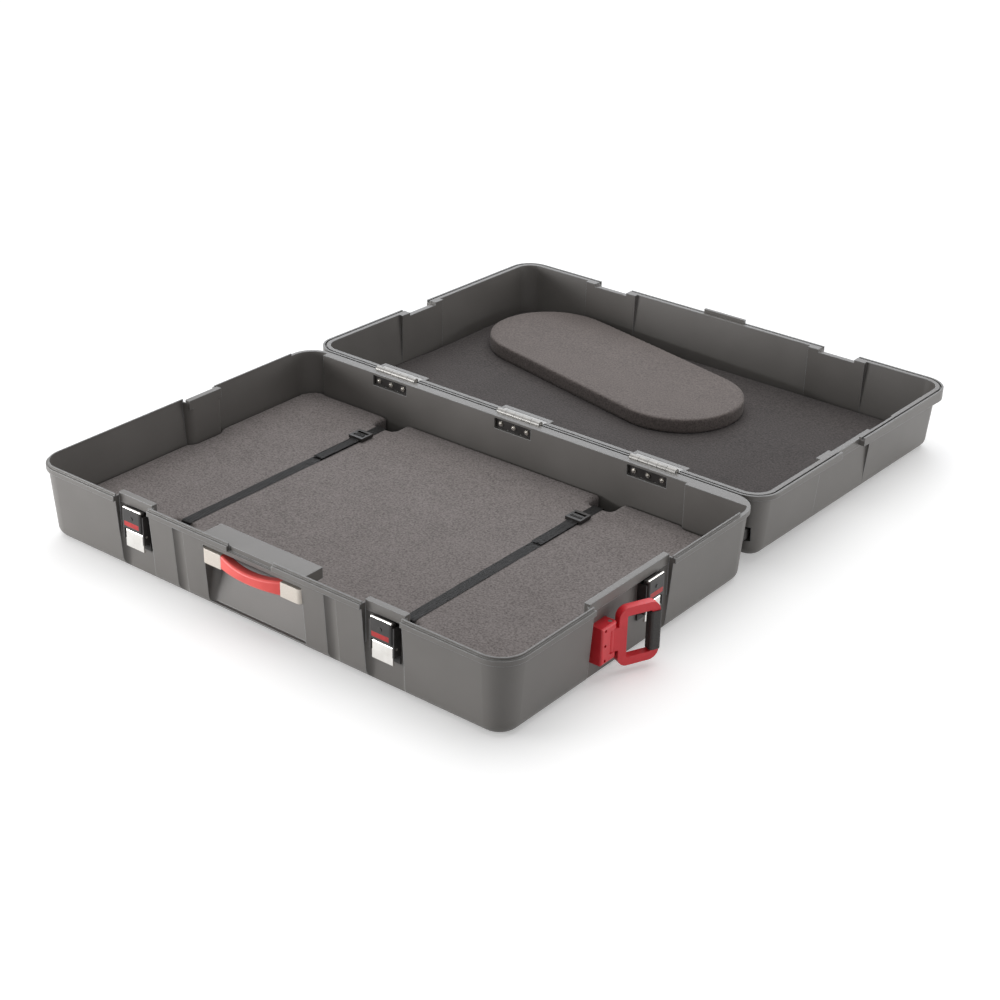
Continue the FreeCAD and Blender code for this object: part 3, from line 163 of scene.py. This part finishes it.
# Open-cell foam: no gloss at all, a mottled grey of lit cell walls and dark pores. Cells are about 1 mm and
# are drawn at 4 mm so that the speckle shows. Each grade has a tone for its pores, its body and its walls.
FOAM_CELL = 4 * MM
FOAM_PATCH = 70 * MM
PORE_DEPTH = 0.8 * MM
FOAM_GRADES = (("base", "#544E4C", "#7A7371", "#8F8886"),
               ("lid", "#332F2F", "#4C4746", "#5E5857"),
               ("pad", "#5A5351", "#736B68", "#847B77"))
foams = {}
for grade, dark, mid, light in FOAM_GRADES:
    foam = new_material(f"open_cell_foam_{grade}_grade")
    place = add_node(foam, "TexCoord").outputs["Object"]
    cells = add_node(foam, "TexVoronoi", {"Vector": place, "Scale": 1 / FOAM_CELL})
    speck = add_node(foam, "TexNoise", {
        "Vector": place, "Scale": 1 / FOAM_CELL, "Detail": 3, "Roughness": 0.7})
    patch = add_node(foam, "TexNoise", {"Vector": place, "Scale": 1 / FOAM_PATCH, "Detail": 2})
    mottle = add_node(foam, "Math", {0: patch.outputs["Fac"], 1: 0.12, 2: speck.outputs["Fac"]},
                      operation="MULTIPLY_ADD")
    shade = add_node(foam, "ValToRGB", {"Fac": mottle.outputs["Value"]},
                     stops=((0.36, dark), (0.54, mid), (0.74, light)))
    pits = add_node(foam, "Bump", {
        "Height": cells.outputs["Distance"], "Strength": 0.5, "Distance": PORE_DEPTH})
    surface = add_node(foam, "BsdfPrincipled", {
        "Base Color": shade.outputs["Color"], "Roughness": 0.95, "Specular IOR Level": 0.15,
        "Sheen Weight": 0.15, "Sheen Roughness": 0.6, "Normal": pits.outputs["Normal"]})
    add_node(foam, "OutputMaterial", {"Surface": surface.outputs["BSDF"]})
    foams[grade] = foam

for shell in ("base", "lid"):
    sheet = soft_copy(f"foam_sheet_{shell}", f"{shell}_foam", SHEET_VOXEL)
    sheet.data.materials.append(foams[shell])
    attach(sheet, shell)
    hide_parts(f"{shell}_foam")


# Centre pad: a loose slab of denser foam with half-round ends, die cut, so its edges are crisp. It lies in
# the lid and goes between the layers when the case is packed.
PAD_VOXEL = 4 * MM
slab = soft_copy("foam_centre_pad", "centre_pad", PAD_VOXEL)
slab.data.materials.append(foams["pad"])
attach(slab, "pad")
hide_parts("centre_pad")


# Straps: black polypropylene webbing, woven flat. Each comes up through a slot in the foam from a plate
# riveted to the floor, runs over the foam to a two-bar buckle, and goes down through the far slot to the
# other plate. The free tail leaves the buckle's bar and lies along the strap.
WEB_THICKNESS = 1.8 * MM
WEB_COLUMNS = 10
WEB_STEP = 6 * MM
WEB_BEND = 5 * MM
BEND_SHARES = (0, 0.25, 0.5, 0.75, 1)
WEB_RIPPLE = 0.5 * MM
WEB_WAVE = 25 * MM
# Sets the waves of the two straps apart, so that they differ.
WAVES_APART = 90
WEB_FOOT = 26 * MM
TAIL_LENGTH = 118 * MM
TAIL_BEND = 3 * MM
TAIL_WIDTH = 0.98
# Where the tail starts behind the buckle's middle, rises onto it, leaves it, and lies down past its edge.
TAIL_START = 9 * MM
TAIL_RISE = 6 * MM
TAIL_FALL = 7 * MM
TAIL_REST = 4 * MM


def web_path(corners, bend):
    """Points along a strap's side view, close together, with each corner turned in an arc."""
    points = [corners[0]]
    for before, corner, after in zip(corners, corners[1:], corners[2:]):
        start = corner + (before - corner).normalized() * bend
        end = corner + (after - corner).normalized() * bend
        for share in BEND_SHARES:
            points.append(start.lerp(corner, share).lerp(corner.lerp(end, share), share))
    points.append(corners[-1])
    even = [points[0]]
    for point in points[1:]:
        steps = max(1, round((point - even[-1]).length / WEB_STEP))
        start = even[-1].copy()
        even += [start.lerp(point, (step + 1) / steps) for step in range(steps)]
    return even


def webbing_strip(name, path, middle, half_width):
    """A flat woven strip along a path, a little uneven, with its real thickness."""
    mesh = bpy.data.meshes.new(name)
    build = bmesh.new()
    rows = []
    for step, point in enumerate(path):
        before = path[max(step - 1, 0)]
        after = path[min(step + 1, len(path) - 1)]
        along = (after - before).normalized()
        out = Vector((0, -along.z, along.y))
        row = []
        for column in range(WEB_COLUMNS + 1):
            across = 2 * column / WEB_COLUMNS - 1
            wave = 1 + noise.noise(Vector((across, point.y / WEB_WAVE, middle * WAVES_APART)))
            spot = Vector((middle + across * half_width, point.y, point.z))
            row.append(build.verts.new(spot + out * WEB_RIPPLE * wave))
        rows.append(row)
    for low_row, high_row in zip(rows, rows[1:]):
        for column in range(WEB_COLUMNS):
            build.faces.new((low_row[column], low_row[column + 1], high_row[column + 1], high_row[column]))
    bmesh.ops.solidify(build, geom=build.faces[:], thickness=-WEB_THICKNESS)
    bmesh.ops.recalc_face_normals(build, faces=build.faces)
    build.to_mesh(mesh)
    build.free()
    mesh.shade_smooth()
    piece = bpy.data.objects.new(name, mesh)
    bpy.context.scene.collection.objects.link(piece)
    return piece


# Woven polypropylene: warp ribs along the strap crossed by the weft, slightly shiny on each rib. Ribs are
# about 1.2 mm apart and are drawn at 2.5 mm.
RIB = 2.5 * MM
RIB_DEPTH = 0.4 * MM
webbing = new_material("woven_black_polypropylene")
place = add_node(webbing, "TexCoord").outputs["Object"]
warp = add_node(webbing, "TexWave", {"Vector": place, "Scale": 1 / RIB / math.tau * 2, "Distortion": 0.3},
                bands_direction="X")
weft = add_node(webbing, "TexWave", {"Vector": place, "Scale": 1 / RIB / math.tau, "Distortion": 0.3},
                bands_direction="Y")
weave = add_node(webbing, "Math", {0: warp.outputs["Fac"], 1: weft.outputs["Fac"]}, operation="MULTIPLY")
thread = add_node(webbing, "ValToRGB", {"Fac": weave.outputs["Value"]},
                  stops=((0, "#141313"), (1, "#3A3736")))
ribs = add_node(webbing, "Bump", {"Height": weave.outputs["Value"], "Strength": 0.7, "Distance": RIB_DEPTH})
yarn = add_node(webbing, "BsdfPrincipled", {
    "Base Color": thread.outputs["Color"], "Roughness": 0.55, "IOR": 1.49, "Normal": ribs.outputs["Normal"]})
add_node(webbing, "OutputMaterial", {"Surface": yarn.outputs["BSDF"]})

for side in ("left", "right"):
    low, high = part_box(f"strap_{side}")
    buckle_low, buckle_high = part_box(f"strap_buckle_{side}")
    plate_top = low.z
    middle = (low.x + high.x) / 2
    half = (high.x - low.x) / 2
    run = high.z - WEB_THICKNESS
    front = low.y + WEB_FOOT
    back = high.y - WEB_FOOT
    strap_turns = ((low.y, plate_top), (front, plate_top), (front, run),
                   (back, run), (back, plate_top), (high.y, plate_top))
    strap_path = web_path([Vector((middle, y, z)) for y, z in strap_turns], WEB_BEND)
    strap = webbing_strip(f"webbing_{side}", strap_path, middle, half)
    strap.data.materials.append(webbing)
    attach(strap, "base")
    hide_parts(f"strap_{side}")
    bar = (buckle_low.y + buckle_high.y) / 2
    over = buckle_high.z + WEB_RIPPLE
    on_strap = high.z + 3 * WEB_RIPPLE
    tail_turns = ((bar + TAIL_START, on_strap), (bar + TAIL_RISE, over), (bar - TAIL_FALL, over),
                  (buckle_low.y - TAIL_REST, on_strap), (buckle_low.y - TAIL_LENGTH, on_strap))
    tail_path = web_path([Vector((middle, y, z)) for y, z in tail_turns], TAIL_BEND)
    tail = webbing_strip(f"webbing_tail_{side}", tail_path, middle, half * TAIL_WIDTH)
    tail.data.materials.append(webbing)
    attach(tail, "base")


# Strap buckles and plates: two-bar buckles moulded in black nylon, threaded on the webbing, and plates of
# plated steel under the strap ends, riveted to the floor of the base.
def metal(name, tones, roughness, streak, edge_radius):
    """Metal with fine streaks of tone and gloss, and a softened edge."""
    dark, light = tones
    smooth, rough = roughness
    made = new_material(name)
    place = add_node(made, "TexCoord").outputs["Object"]
    streaks = add_node(made, "TexNoise", {"Vector": place, "Scale": 1 / streak, "Detail": 3})
    tone = add_node(made, "ValToRGB", {"Fac": streaks.outputs["Fac"]}, stops=((0.3, dark), (0.7, light)))
    gloss = add_node(made, "MapRange", {"Value": streaks.outputs["Fac"], "To Min": smooth, "To Max": rough})
    edge = add_node(made, "Bevel", {"Radius": edge_radius}, samples=4)
    surface = add_node(made, "BsdfPrincipled", {
        "Base Color": tone.outputs["Color"], "Metallic": 1, "Roughness": gloss.outputs["Result"],
        "Normal": edge.outputs["Normal"]})
    add_node(made, "OutputMaterial", {"Surface": surface.outputs["BSDF"]})
    return made


# Moulded nylon: near black, with a soft gloss that varies a little and a faint texture. The texture is near
# 0.3 mm and is drawn at 2 mm so that it shows.
NYLON_GRAIN = 2 * MM
NYLON_GRAIN_DEPTH = 0.2 * MM
NYLON_CLOUD = 30 * MM
NYLON_EDGE = 0.8 * MM
black_nylon = new_material("moulded_black_nylon")
place = add_node(black_nylon, "TexCoord").outputs["Object"]
grain = add_node(black_nylon, "TexNoise", {"Vector": place, "Scale": 1 / NYLON_GRAIN, "Detail": 2})
cloud = add_node(black_nylon, "TexNoise", {"Vector": place, "Scale": 1 / NYLON_CLOUD, "Detail": 2})
tone = add_node(black_nylon, "ValToRGB", {"Fac": cloud.outputs["Fac"]},
                stops=((0.3, "#211F1E"), (0.7, "#2D2A29")))
edge = add_node(black_nylon, "Bevel", {"Radius": NYLON_EDGE}, samples=4)
bump = add_node(black_nylon, "Bump", {
    "Height": grain.outputs["Fac"], "Strength": 0.15, "Distance": NYLON_GRAIN_DEPTH,
    "Normal": edge.outputs["Normal"]})
gloss = add_node(black_nylon, "MapRange", {"Value": cloud.outputs["Fac"], "To Min": 0.3, "To Max": 0.45})
skin = add_node(black_nylon, "BsdfPrincipled", {
    "Base Color": tone.outputs["Color"], "Roughness": gloss.outputs["Result"], "IOR": 1.53,
    "Normal": bump.outputs["Normal"]})
add_node(black_nylon, "OutputMaterial", {"Surface": skin.outputs["BSDF"]})
dress(black_nylon, "strap_buckle_left", "strap_buckle_right")

# Zinc plated steel: a pale, slightly warm metal, bright but no mirror, mottled by its plating.
bright_zinc = metal("zinc_plated_steel", tones=("#A8A49C", "#C9C6BF"), roughness=(0.25, 0.4),
                    streak=6 * MM, edge_radius=0.4 * MM)
dress(bright_zinc, "strap_anchors", "strap_rivets")


# Hinges: three steel butt hinges let into the rims, each with rolled knuckles on one pin, bolted through the
# wall with three bolts per leaf. The leaves are grey like the shells, the pins and bolts bright zinc.
HINGES = ("left", "middle", "right")
# Grey passivated steel: plated steel under a grey dip, duller than the bolts and near the shells' own grey.
grey_zinc = metal("grey_passivated_steel", tones=("#7C7B79", "#93918E"), roughness=(0.35, 0.55),
                  streak=9 * MM, edge_radius=0.5 * MM)
# Bright zinc: fresh plating, which makes the bolts the brightest spots in the dark windows.
stud_zinc = metal("bright_zinc_fasteners", tones=("#C2BEB6", "#E2DFD9"), roughness=(0.2, 0.32),
                  streak=4 * MM, edge_radius=0.4 * MM)
for spot in HINGES:
    dress(grey_zinc, f"hinge_{spot}_base_leaf", f"hinge_{spot}_lid_leaf")
dress(bright_zinc, "hinge_pins")
dress(stud_zinc, "hinge_bolts_base", "hinge_bolts_lid")


# Hinge studs and strips: the threaded ends of the hinge bolts stand out of their nuts, and each row of nuts
# is tightened on a black nylon strip that lines the window in the wall: painted shade, a dark sheet that
# stands in for the shadow deep in the window.
BOLT_PITCH = 34 * MM
STUD_TURNS = 24
# Each ring of the thread: its radius, and how far it stands out of the nut, both in millimetres.
STUD_RINGS = ((3.0, 0), (3.0, 0.3), (2.6, 0.55), (3.0, 0.8), (2.6, 1.05), (3.0, 1.3), (2.6, 1.55),
              (3.0, 1.8), (2.9, 2.1), (2.2, 2.7))
STRIP_HALF = Vector((47.5 * MM, 11.5 * MM))
STRIP_CUTS = (-STRIP_HALF.x, -BOLT_PITCH / 2, BOLT_PITCH / 2, STRIP_HALF.x)
STRIP_HOLE = 6.1 * MM
STRIP_THICKNESS = 1 * MM
STRIP_CLEAR = 0.25 * MM
NUT_HEIGHT = 4 * MM
SAME_PLACE = 0.01 * MM


def to_piece(name, build, material):
    """A piece made from a mesh under construction, in its material."""
    bmesh.ops.recalc_face_normals(build, faces=build.faces)
    mesh = bpy.data.meshes.new(name)
    build.to_mesh(mesh)
    build.free()
    mesh.materials.append(material)
    piece = bpy.data.objects.new(name, mesh)
    bpy.context.scene.collection.objects.link(piece)
    return piece


for shell, inward in (("base", -1), ("lid", 1)):
    low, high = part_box(f"hinge_bolts_{shell}")
    nut_face = low.y if inward < 0 else high.y
    strip_back = nut_face - inward * (NUT_HEIGHT - STRIP_CLEAR)
    height = (low.z + high.z) / 2
    studs = bmesh.new()
    shade_strips = bmesh.new()
    for spot in HINGES:
        leaf_low, leaf_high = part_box(f"hinge_{spot}_{shell}_leaf")
        hinge_middle = (leaf_low.x + leaf_high.x) / 2
        for bolt, cut_low, cut_high in zip((-1, 0, 1), STRIP_CUTS, STRIP_CUTS[1:]):
            bolt_x = hinge_middle + bolt * BOLT_PITCH
            left_room = bolt * BOLT_PITCH - cut_low
            right_room = cut_high - bolt * BOLT_PITCH
            hole = []
            outline = []
            for turn in range(STUD_TURNS):
                angle = math.tau * (turn + 0.5) / STUD_TURNS
                across = math.cos(angle)
                upward = math.sin(angle)
                room = right_room if across > 0 else left_room
                reach = min(room / abs(across), STRIP_HALF.y / abs(upward))
                for loop, radius in ((hole, STRIP_HOLE), (outline, reach)):
                    corner = (bolt_x + across * radius, strip_back, height + upward * radius)
                    loop.append(shade_strips.verts.new(corner))
            rings = []
            for radius, out in STUD_RINGS:
                ring = []
                for turn in range(STUD_TURNS):
                    angle = math.tau * turn / STUD_TURNS
                    ring.append(studs.verts.new((bolt_x + math.cos(angle) * radius * MM,
                                                 nut_face + inward * out * MM,
                                                 height + math.sin(angle) * radius * MM)))
                rings.append(ring)
            for turn in range(STUD_TURNS):
                after = (turn + 1) % STUD_TURNS
                shade_strips.faces.new((hole[turn], hole[after], outline[after], outline[turn]))
                for inner, outer in zip(rings, rings[1:]):
                    studs.faces.new((inner[turn], inner[after], outer[after], outer[turn]))
            studs.faces.new(rings[0])
            studs.faces.new(rings[-1])
    bmesh.ops.remove_doubles(shade_strips, verts=shade_strips.verts, dist=SAME_PLACE)
    solid = bmesh.ops.extrude_face_region(shade_strips, geom=shade_strips.faces[:])
    for item in solid["geom"]:
        if isinstance(item, bmesh.types.BMVert):
            item.co.y += inward * STRIP_THICKNESS
    stud_row = to_piece(f"hinge_stud_ends_{shell}", studs, stud_zinc)
    # The black strips are painted shade: dark sheets put where the depth of each window lies in shadow.
    shade_strip_row = to_piece(f"hinge_window_shade_strips_{shell}", shade_strips, black_nylon)
    for piece, slot in ((stud_row, "zinc_steel"), (shade_strip_row, "black_plastic")):
        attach(piece, shell)


# Latches: four over-centre latches in the wall recesses. A black housing carries a chromed lever on a steel
# axle, and a black hook with a red marker strip catches the lid's edge by its bar.
MARKER_CLOUD = 8 * MM
MARKER_EDGE = 0.5 * MM
# Chrome plate: nearly a mirror, a little uneven over the plate, which shows the white floor before it.
chrome = metal("chrome_plate", tones=("#E2DFDA", "#F0EEEA"), roughness=(0.1, 0.17),
               streak=25 * MM, edge_radius=0.5 * MM)
# Moulded acetal: a deep, even red with a low gloss, clouded slightly as a moulding is.
red_marker = new_material("moulded_red_acetal")
place = add_node(red_marker, "TexCoord").outputs["Object"]
cloud = add_node(red_marker, "TexNoise", {"Vector": place, "Scale": 1 / MARKER_CLOUD, "Detail": 2})
tone = add_node(red_marker, "ValToRGB", {"Fac": cloud.outputs["Fac"]},
                stops=((0.3, "#A81F22"), (0.7, "#BE2C2C")))
edge = add_node(red_marker, "Bevel", {"Radius": MARKER_EDGE}, samples=4)
skin = add_node(red_marker, "BsdfPrincipled", {
    "Base Color": tone.outputs["Color"], "Roughness": 0.35, "IOR": 1.48, "Normal": edge.outputs["Normal"]})
add_node(red_marker, "OutputMaterial", {"Surface": skin.outputs["BSDF"]})
for spot in ("front_left", "front_right", "left", "right"):
    dress(black_nylon, f"latch_{spot}_housing", f"latch_{spot}_hook")
    dress(chrome, f"latch_{spot}_lever", f"latch_{spot}_hook_bar")
    dress(bright_zinc, f"latch_{spot}_axle")
    dress(red_marker, f"latch_{spot}_marker")


# Carry handle: a bowed grip of red soft-touch plastic between two pale caps, bridging the recess in the front
# wall so that fingers reach in from below.
GRIP_GRAIN = 2 * MM
GRIP_GRAIN_DEPTH = 0.2 * MM
GRIP_CLOUD = 45 * MM
HANDLE_EDGE = 1.5 * MM
CAP_FLAKE = 1.5 * MM
# Soft-touch elastomer: a warm, light red, dull, with a trace of bloom. Its grain is near 0.3 mm and is drawn
# at 2 mm so that it shows.
soft_red = new_material("soft_touch_red_elastomer")
place = add_node(soft_red, "TexCoord").outputs["Object"]
grain = add_node(soft_red, "TexNoise", {"Vector": place, "Scale": 1 / GRIP_GRAIN, "Detail": 2})
cloud = add_node(soft_red, "TexNoise", {"Vector": place, "Scale": 1 / GRIP_CLOUD, "Detail": 2})
tone = add_node(soft_red, "ValToRGB", {"Fac": cloud.outputs["Fac"]},
                stops=((0.3, "#E04B47"), (0.7, "#EE5C55")))
edge = add_node(soft_red, "Bevel", {"Radius": HANDLE_EDGE}, samples=4)
bump = add_node(soft_red, "Bump", {
    "Height": grain.outputs["Fac"], "Strength": 0.15, "Distance": GRIP_GRAIN_DEPTH,
    "Normal": edge.outputs["Normal"]})
skin = add_node(soft_red, "BsdfPrincipled", {
    "Base Color": tone.outputs["Color"], "Roughness": 0.42, "IOR": 1.5, "Sheen Weight": 0.1,
    "Normal": bump.outputs["Normal"]})
add_node(soft_red, "OutputMaterial", {"Surface": skin.outputs["BSDF"]})
dress(soft_red, "carry_handle_grip")

# Champagne paint on ABS: pale and warm, with a slight metal glint. Flakes are near 0.1 mm and are drawn at
# 1.5 mm so that they show.
pale_paint = new_material("painted_champagne_abs")
place = add_node(pale_paint, "TexCoord").outputs["Object"]
flake = add_node(pale_paint, "TexVoronoi", {"Vector": place, "Scale": 1 / CAP_FLAKE})
tone = add_node(pale_paint, "ValToRGB", {"Fac": flake.outputs["Distance"]},
                stops=((0, "#CFC6BB"), (1, "#DDD5CB")))
edge = add_node(pale_paint, "Bevel", {"Radius": HANDLE_EDGE}, samples=4)
skin = add_node(pale_paint, "BsdfPrincipled", {
    "Base Color": tone.outputs["Color"], "Metallic": 0.25, "Roughness": 0.38, "IOR": 1.5,
    "Normal": edge.outputs["Normal"]})
add_node(pale_paint, "OutputMaterial", {"Surface": skin.outputs["BSDF"]})
dress(pale_paint, "carry_handle_cap_left", "carry_handle_cap_right")


# Tow handle: a red moulded frame that swings out on a pin in a bracket screwed to the end wall, with a black
# rubber sleeve on the bar that the hand holds.
TOW_CLOUD = 40 * MM
TOW_EDGE = 1.5 * MM
RUBBER_GRAIN = 2.5 * MM
RUBBER_GRAIN_DEPTH = 0.3 * MM
# Moulded nylon: a full red with a soft gloss that varies a little, and rounded edges that catch the light.
red_nylon = new_material("moulded_red_nylon")
place = add_node(red_nylon, "TexCoord").outputs["Object"]
cloud = add_node(red_nylon, "TexNoise", {"Vector": place, "Scale": 1 / TOW_CLOUD, "Detail": 3})
tone = add_node(red_nylon, "ValToRGB", {"Fac": cloud.outputs["Fac"]},
                stops=((0.3, "#D5222E"), (0.7, "#E6323C")))
edge = add_node(red_nylon, "Bevel", {"Radius": TOW_EDGE}, samples=4)
gloss = add_node(red_nylon, "MapRange", {"Value": cloud.outputs["Fac"], "To Min": 0.3, "To Max": 0.42})
skin = add_node(red_nylon, "BsdfPrincipled", {
    "Base Color": tone.outputs["Color"], "Roughness": gloss.outputs["Result"], "IOR": 1.53,
    "Normal": edge.outputs["Normal"]})
add_node(red_nylon, "OutputMaterial", {"Surface": skin.outputs["BSDF"]})
dress(red_nylon, "tow_bracket", "tow_frame")
dress(bright_zinc, "tow_pin")

# Moulded rubber: near black and dull, with a pebbled skin. The pebbles are near 0.5 mm and are drawn at
# 2.5 mm so that they show.
black_rubber = new_material("moulded_black_rubber")
place = add_node(black_rubber, "TexCoord").outputs["Object"]
grain = add_node(black_rubber, "TexNoise", {"Vector": place, "Scale": 1 / RUBBER_GRAIN, "Detail": 3})
tone = add_node(black_rubber, "ValToRGB", {"Fac": grain.outputs["Fac"]},
                stops=((0.3, "#1B1918"), (0.7, "#2C2927")))
edge = add_node(black_rubber, "Bevel", {"Radius": TOW_EDGE}, samples=4)
bump = add_node(black_rubber, "Bump", {
    "Height": grain.outputs["Fac"], "Strength": 0.25, "Distance": RUBBER_GRAIN_DEPTH,
    "Normal": edge.outputs["Normal"]})
skin = add_node(black_rubber, "BsdfPrincipled", {
    "Base Color": tone.outputs["Color"], "Roughness": 0.6, "IOR": 1.52, "Normal": bump.outputs["Normal"]})
add_node(black_rubber, "OutputMaterial", {"Surface": skin.outputs["BSDF"]})
dress(black_rubber, "tow_grip")


# Wheels: a solid rubber wheel in a well at one hinge-side corner of each shell, turning on a steel axle
# between the well's floor and roof.
dress(black_rubber, "wheel_base", "wheel_lid")
dress(bright_zinc, "wheel_base_axle", "wheel_lid_axle")


# Studio: a plain white floor, one broad softbox overhead, and two low white cards, one off the front left
# corner and one beyond the tow handle, that light the outer walls more than the insides. A cool softbox
# behind the lid puts a sheen on the rims.
FLOOR_HALF = 15
FLOOR_DROP = 0.6 * MM
FLOOR_LIFT = 0.3
SKY_FILL = 0.3
TOP_FROM = Vector((-0.25, 0.3, 1.0))
TOP_STRENGTH = 1.55
TOP_SPREAD = math.radians(65)
# Each card: its name, where it stands, where it aims, its width and height in metres, its watts and its tint.
CARDS = (("front_left_card", (-2.3, -2.4, 0.45), (-0.35, -0.4, 0.08), (2.2, 0.8), 88, "#FFFFFF"),
         ("right_card", (2.9, 1.9, 0.45), (0.6, 0.6, 0.08), (2.2, 0.8), 28, "#FFFFFF"),
         ("back_softbox", (-2.4, 4.0, 2.2), (0, 0.4, 0.15), (3.4, 1.6), 40, "#EEF5FF"))


def shown_rays(owner):
    """In a material or the world: 1 for rays that show it, straight, mirrored or through glass, or else 0."""
    ray = add_node(owner, "LightPath").outputs
    mirrored = add_node(owner, "Math", {0: ray["Is Camera Ray"], 1: ray["Is Glossy Ray"]},
                        operation="MAXIMUM")
    shown = add_node(owner, "Math", {0: mirrored.outputs["Value"], 1: ray["Is Transmission Ray"]},
                     operation="MAXIMUM")
    return shown.outputs["Value"]


floor_corners = [(x * FLOOR_HALF, y * FLOOR_HALF, 0) for x, y in ((-1, -1), (1, -1), (1, 1), (-1, 1))]
floor_mesh = bpy.data.meshes.new("studio_floor")
floor_mesh.from_pydata(floor_corners, [], [(0, 1, 2, 3)])
floor = bpy.data.objects.new("studio_floor", floor_mesh)
floor.location.z = -FLOOR_DROP
bpy.context.scene.collection.objects.link(floor)
# White paper: plain white where it shows, with the case's shadow on it, and greyer in the light it throws
# back onto the case.
paper = new_material("white_paper_floor")
matte = add_node(paper, "BsdfDiffuse", {"Color": linear("#F4F4F4")})
dim = add_node(paper, "BsdfDiffuse", {"Color": linear("#C4C4C4")})
lift = add_node(paper, "Emission", {"Color": (1, 1, 1, 1), "Strength": FLOOR_LIFT})
white = add_node(paper, "AddShader", {0: matte.outputs["BSDF"], 1: lift.outputs["Emission"]})
mixed = add_node(paper, "MixShader", {
    0: shown_rays(paper), 1: dim.outputs["BSDF"], 2: white.outputs["Shader"]})
add_node(paper, "OutputMaterial", {"Surface": mixed.outputs["Shader"]})
floor_mesh.materials.append(paper)

top_data = bpy.data.lights.new("top_softbox", "SUN")
top_data.energy = TOP_STRENGTH
top_data.angle = TOP_SPREAD
top_light = bpy.data.objects.new("top_softbox", top_data)
top_light.rotation_euler = TOP_FROM.to_track_quat("Z", "Y").to_euler()
bpy.context.scene.collection.objects.link(top_light)
for name, stand, aim, (width, tall), watts, tint in CARDS:
    card_data = bpy.data.lights.new(name, "AREA")
    card_data.shape = "RECTANGLE"
    card_data.size = width
    card_data.size_y = tall
    card_data.energy = watts
    card_data.color = linear(tint)[:3]
    card = bpy.data.objects.new(name, card_data)
    card.location = stand
    card.rotation_euler = (Vector(stand) - Vector(aim)).to_track_quat("Z", "Y").to_euler()
    card.visible_camera = False
    bpy.context.scene.collection.objects.link(card)

world = bpy.data.worlds.new("studio_sky")
world.use_nodes = True
world.node_tree.nodes.clear()
bpy.context.scene.world = world
strength = add_node(world, "Mix", {"Factor": shown_rays(world), "A": SKY_FILL, "B": 1.0})
sky = add_node(world, "Background", {"Color": (1, 1, 1, 1), "Strength": strength.outputs["Result"]})
add_node(world, "OutputWorld", {"Surface": sky.outputs["Background"]})
bpy.context.scene.view_settings.view_transform = "Standard"


# Camera: at the photograph's viewing angle, looking down on the open case from the front right corner, with
# the slight roll that the photograph has.
EYE = Vector((2.2799, -2.5870, 1.8789))
AZIMUTH = math.radians(37.923)
ELEVATION = math.radians(26.992)
ROLL = math.radians(1.305)
LENS = 71.125
SENSOR = 36
camera_data = bpy.data.cameras.new("camera")
camera_data.lens = LENS
camera_data.sensor_width = SENSOR
camera = bpy.data.objects.new("camera", camera_data)
right = Vector((math.cos(AZIMUTH), math.sin(AZIMUTH), 0))
forward = Vector((-math.sin(AZIMUTH) * math.cos(ELEVATION), math.cos(AZIMUTH) * math.cos(ELEVATION),
                  -math.sin(ELEVATION)))
up = right.cross(forward)
rolled_right = right * math.cos(ROLL) + up * math.sin(ROLL)
rolled_up = up * math.cos(ROLL) - right * math.sin(ROLL)
axes = Matrix((rolled_right, rolled_up, -forward))
camera.matrix_world = Matrix.Translation(EYE) @ axes.transposed().to_4x4()
bpy.context.scene.collection.objects.link(camera)
bpy.context.scene.camera = camera
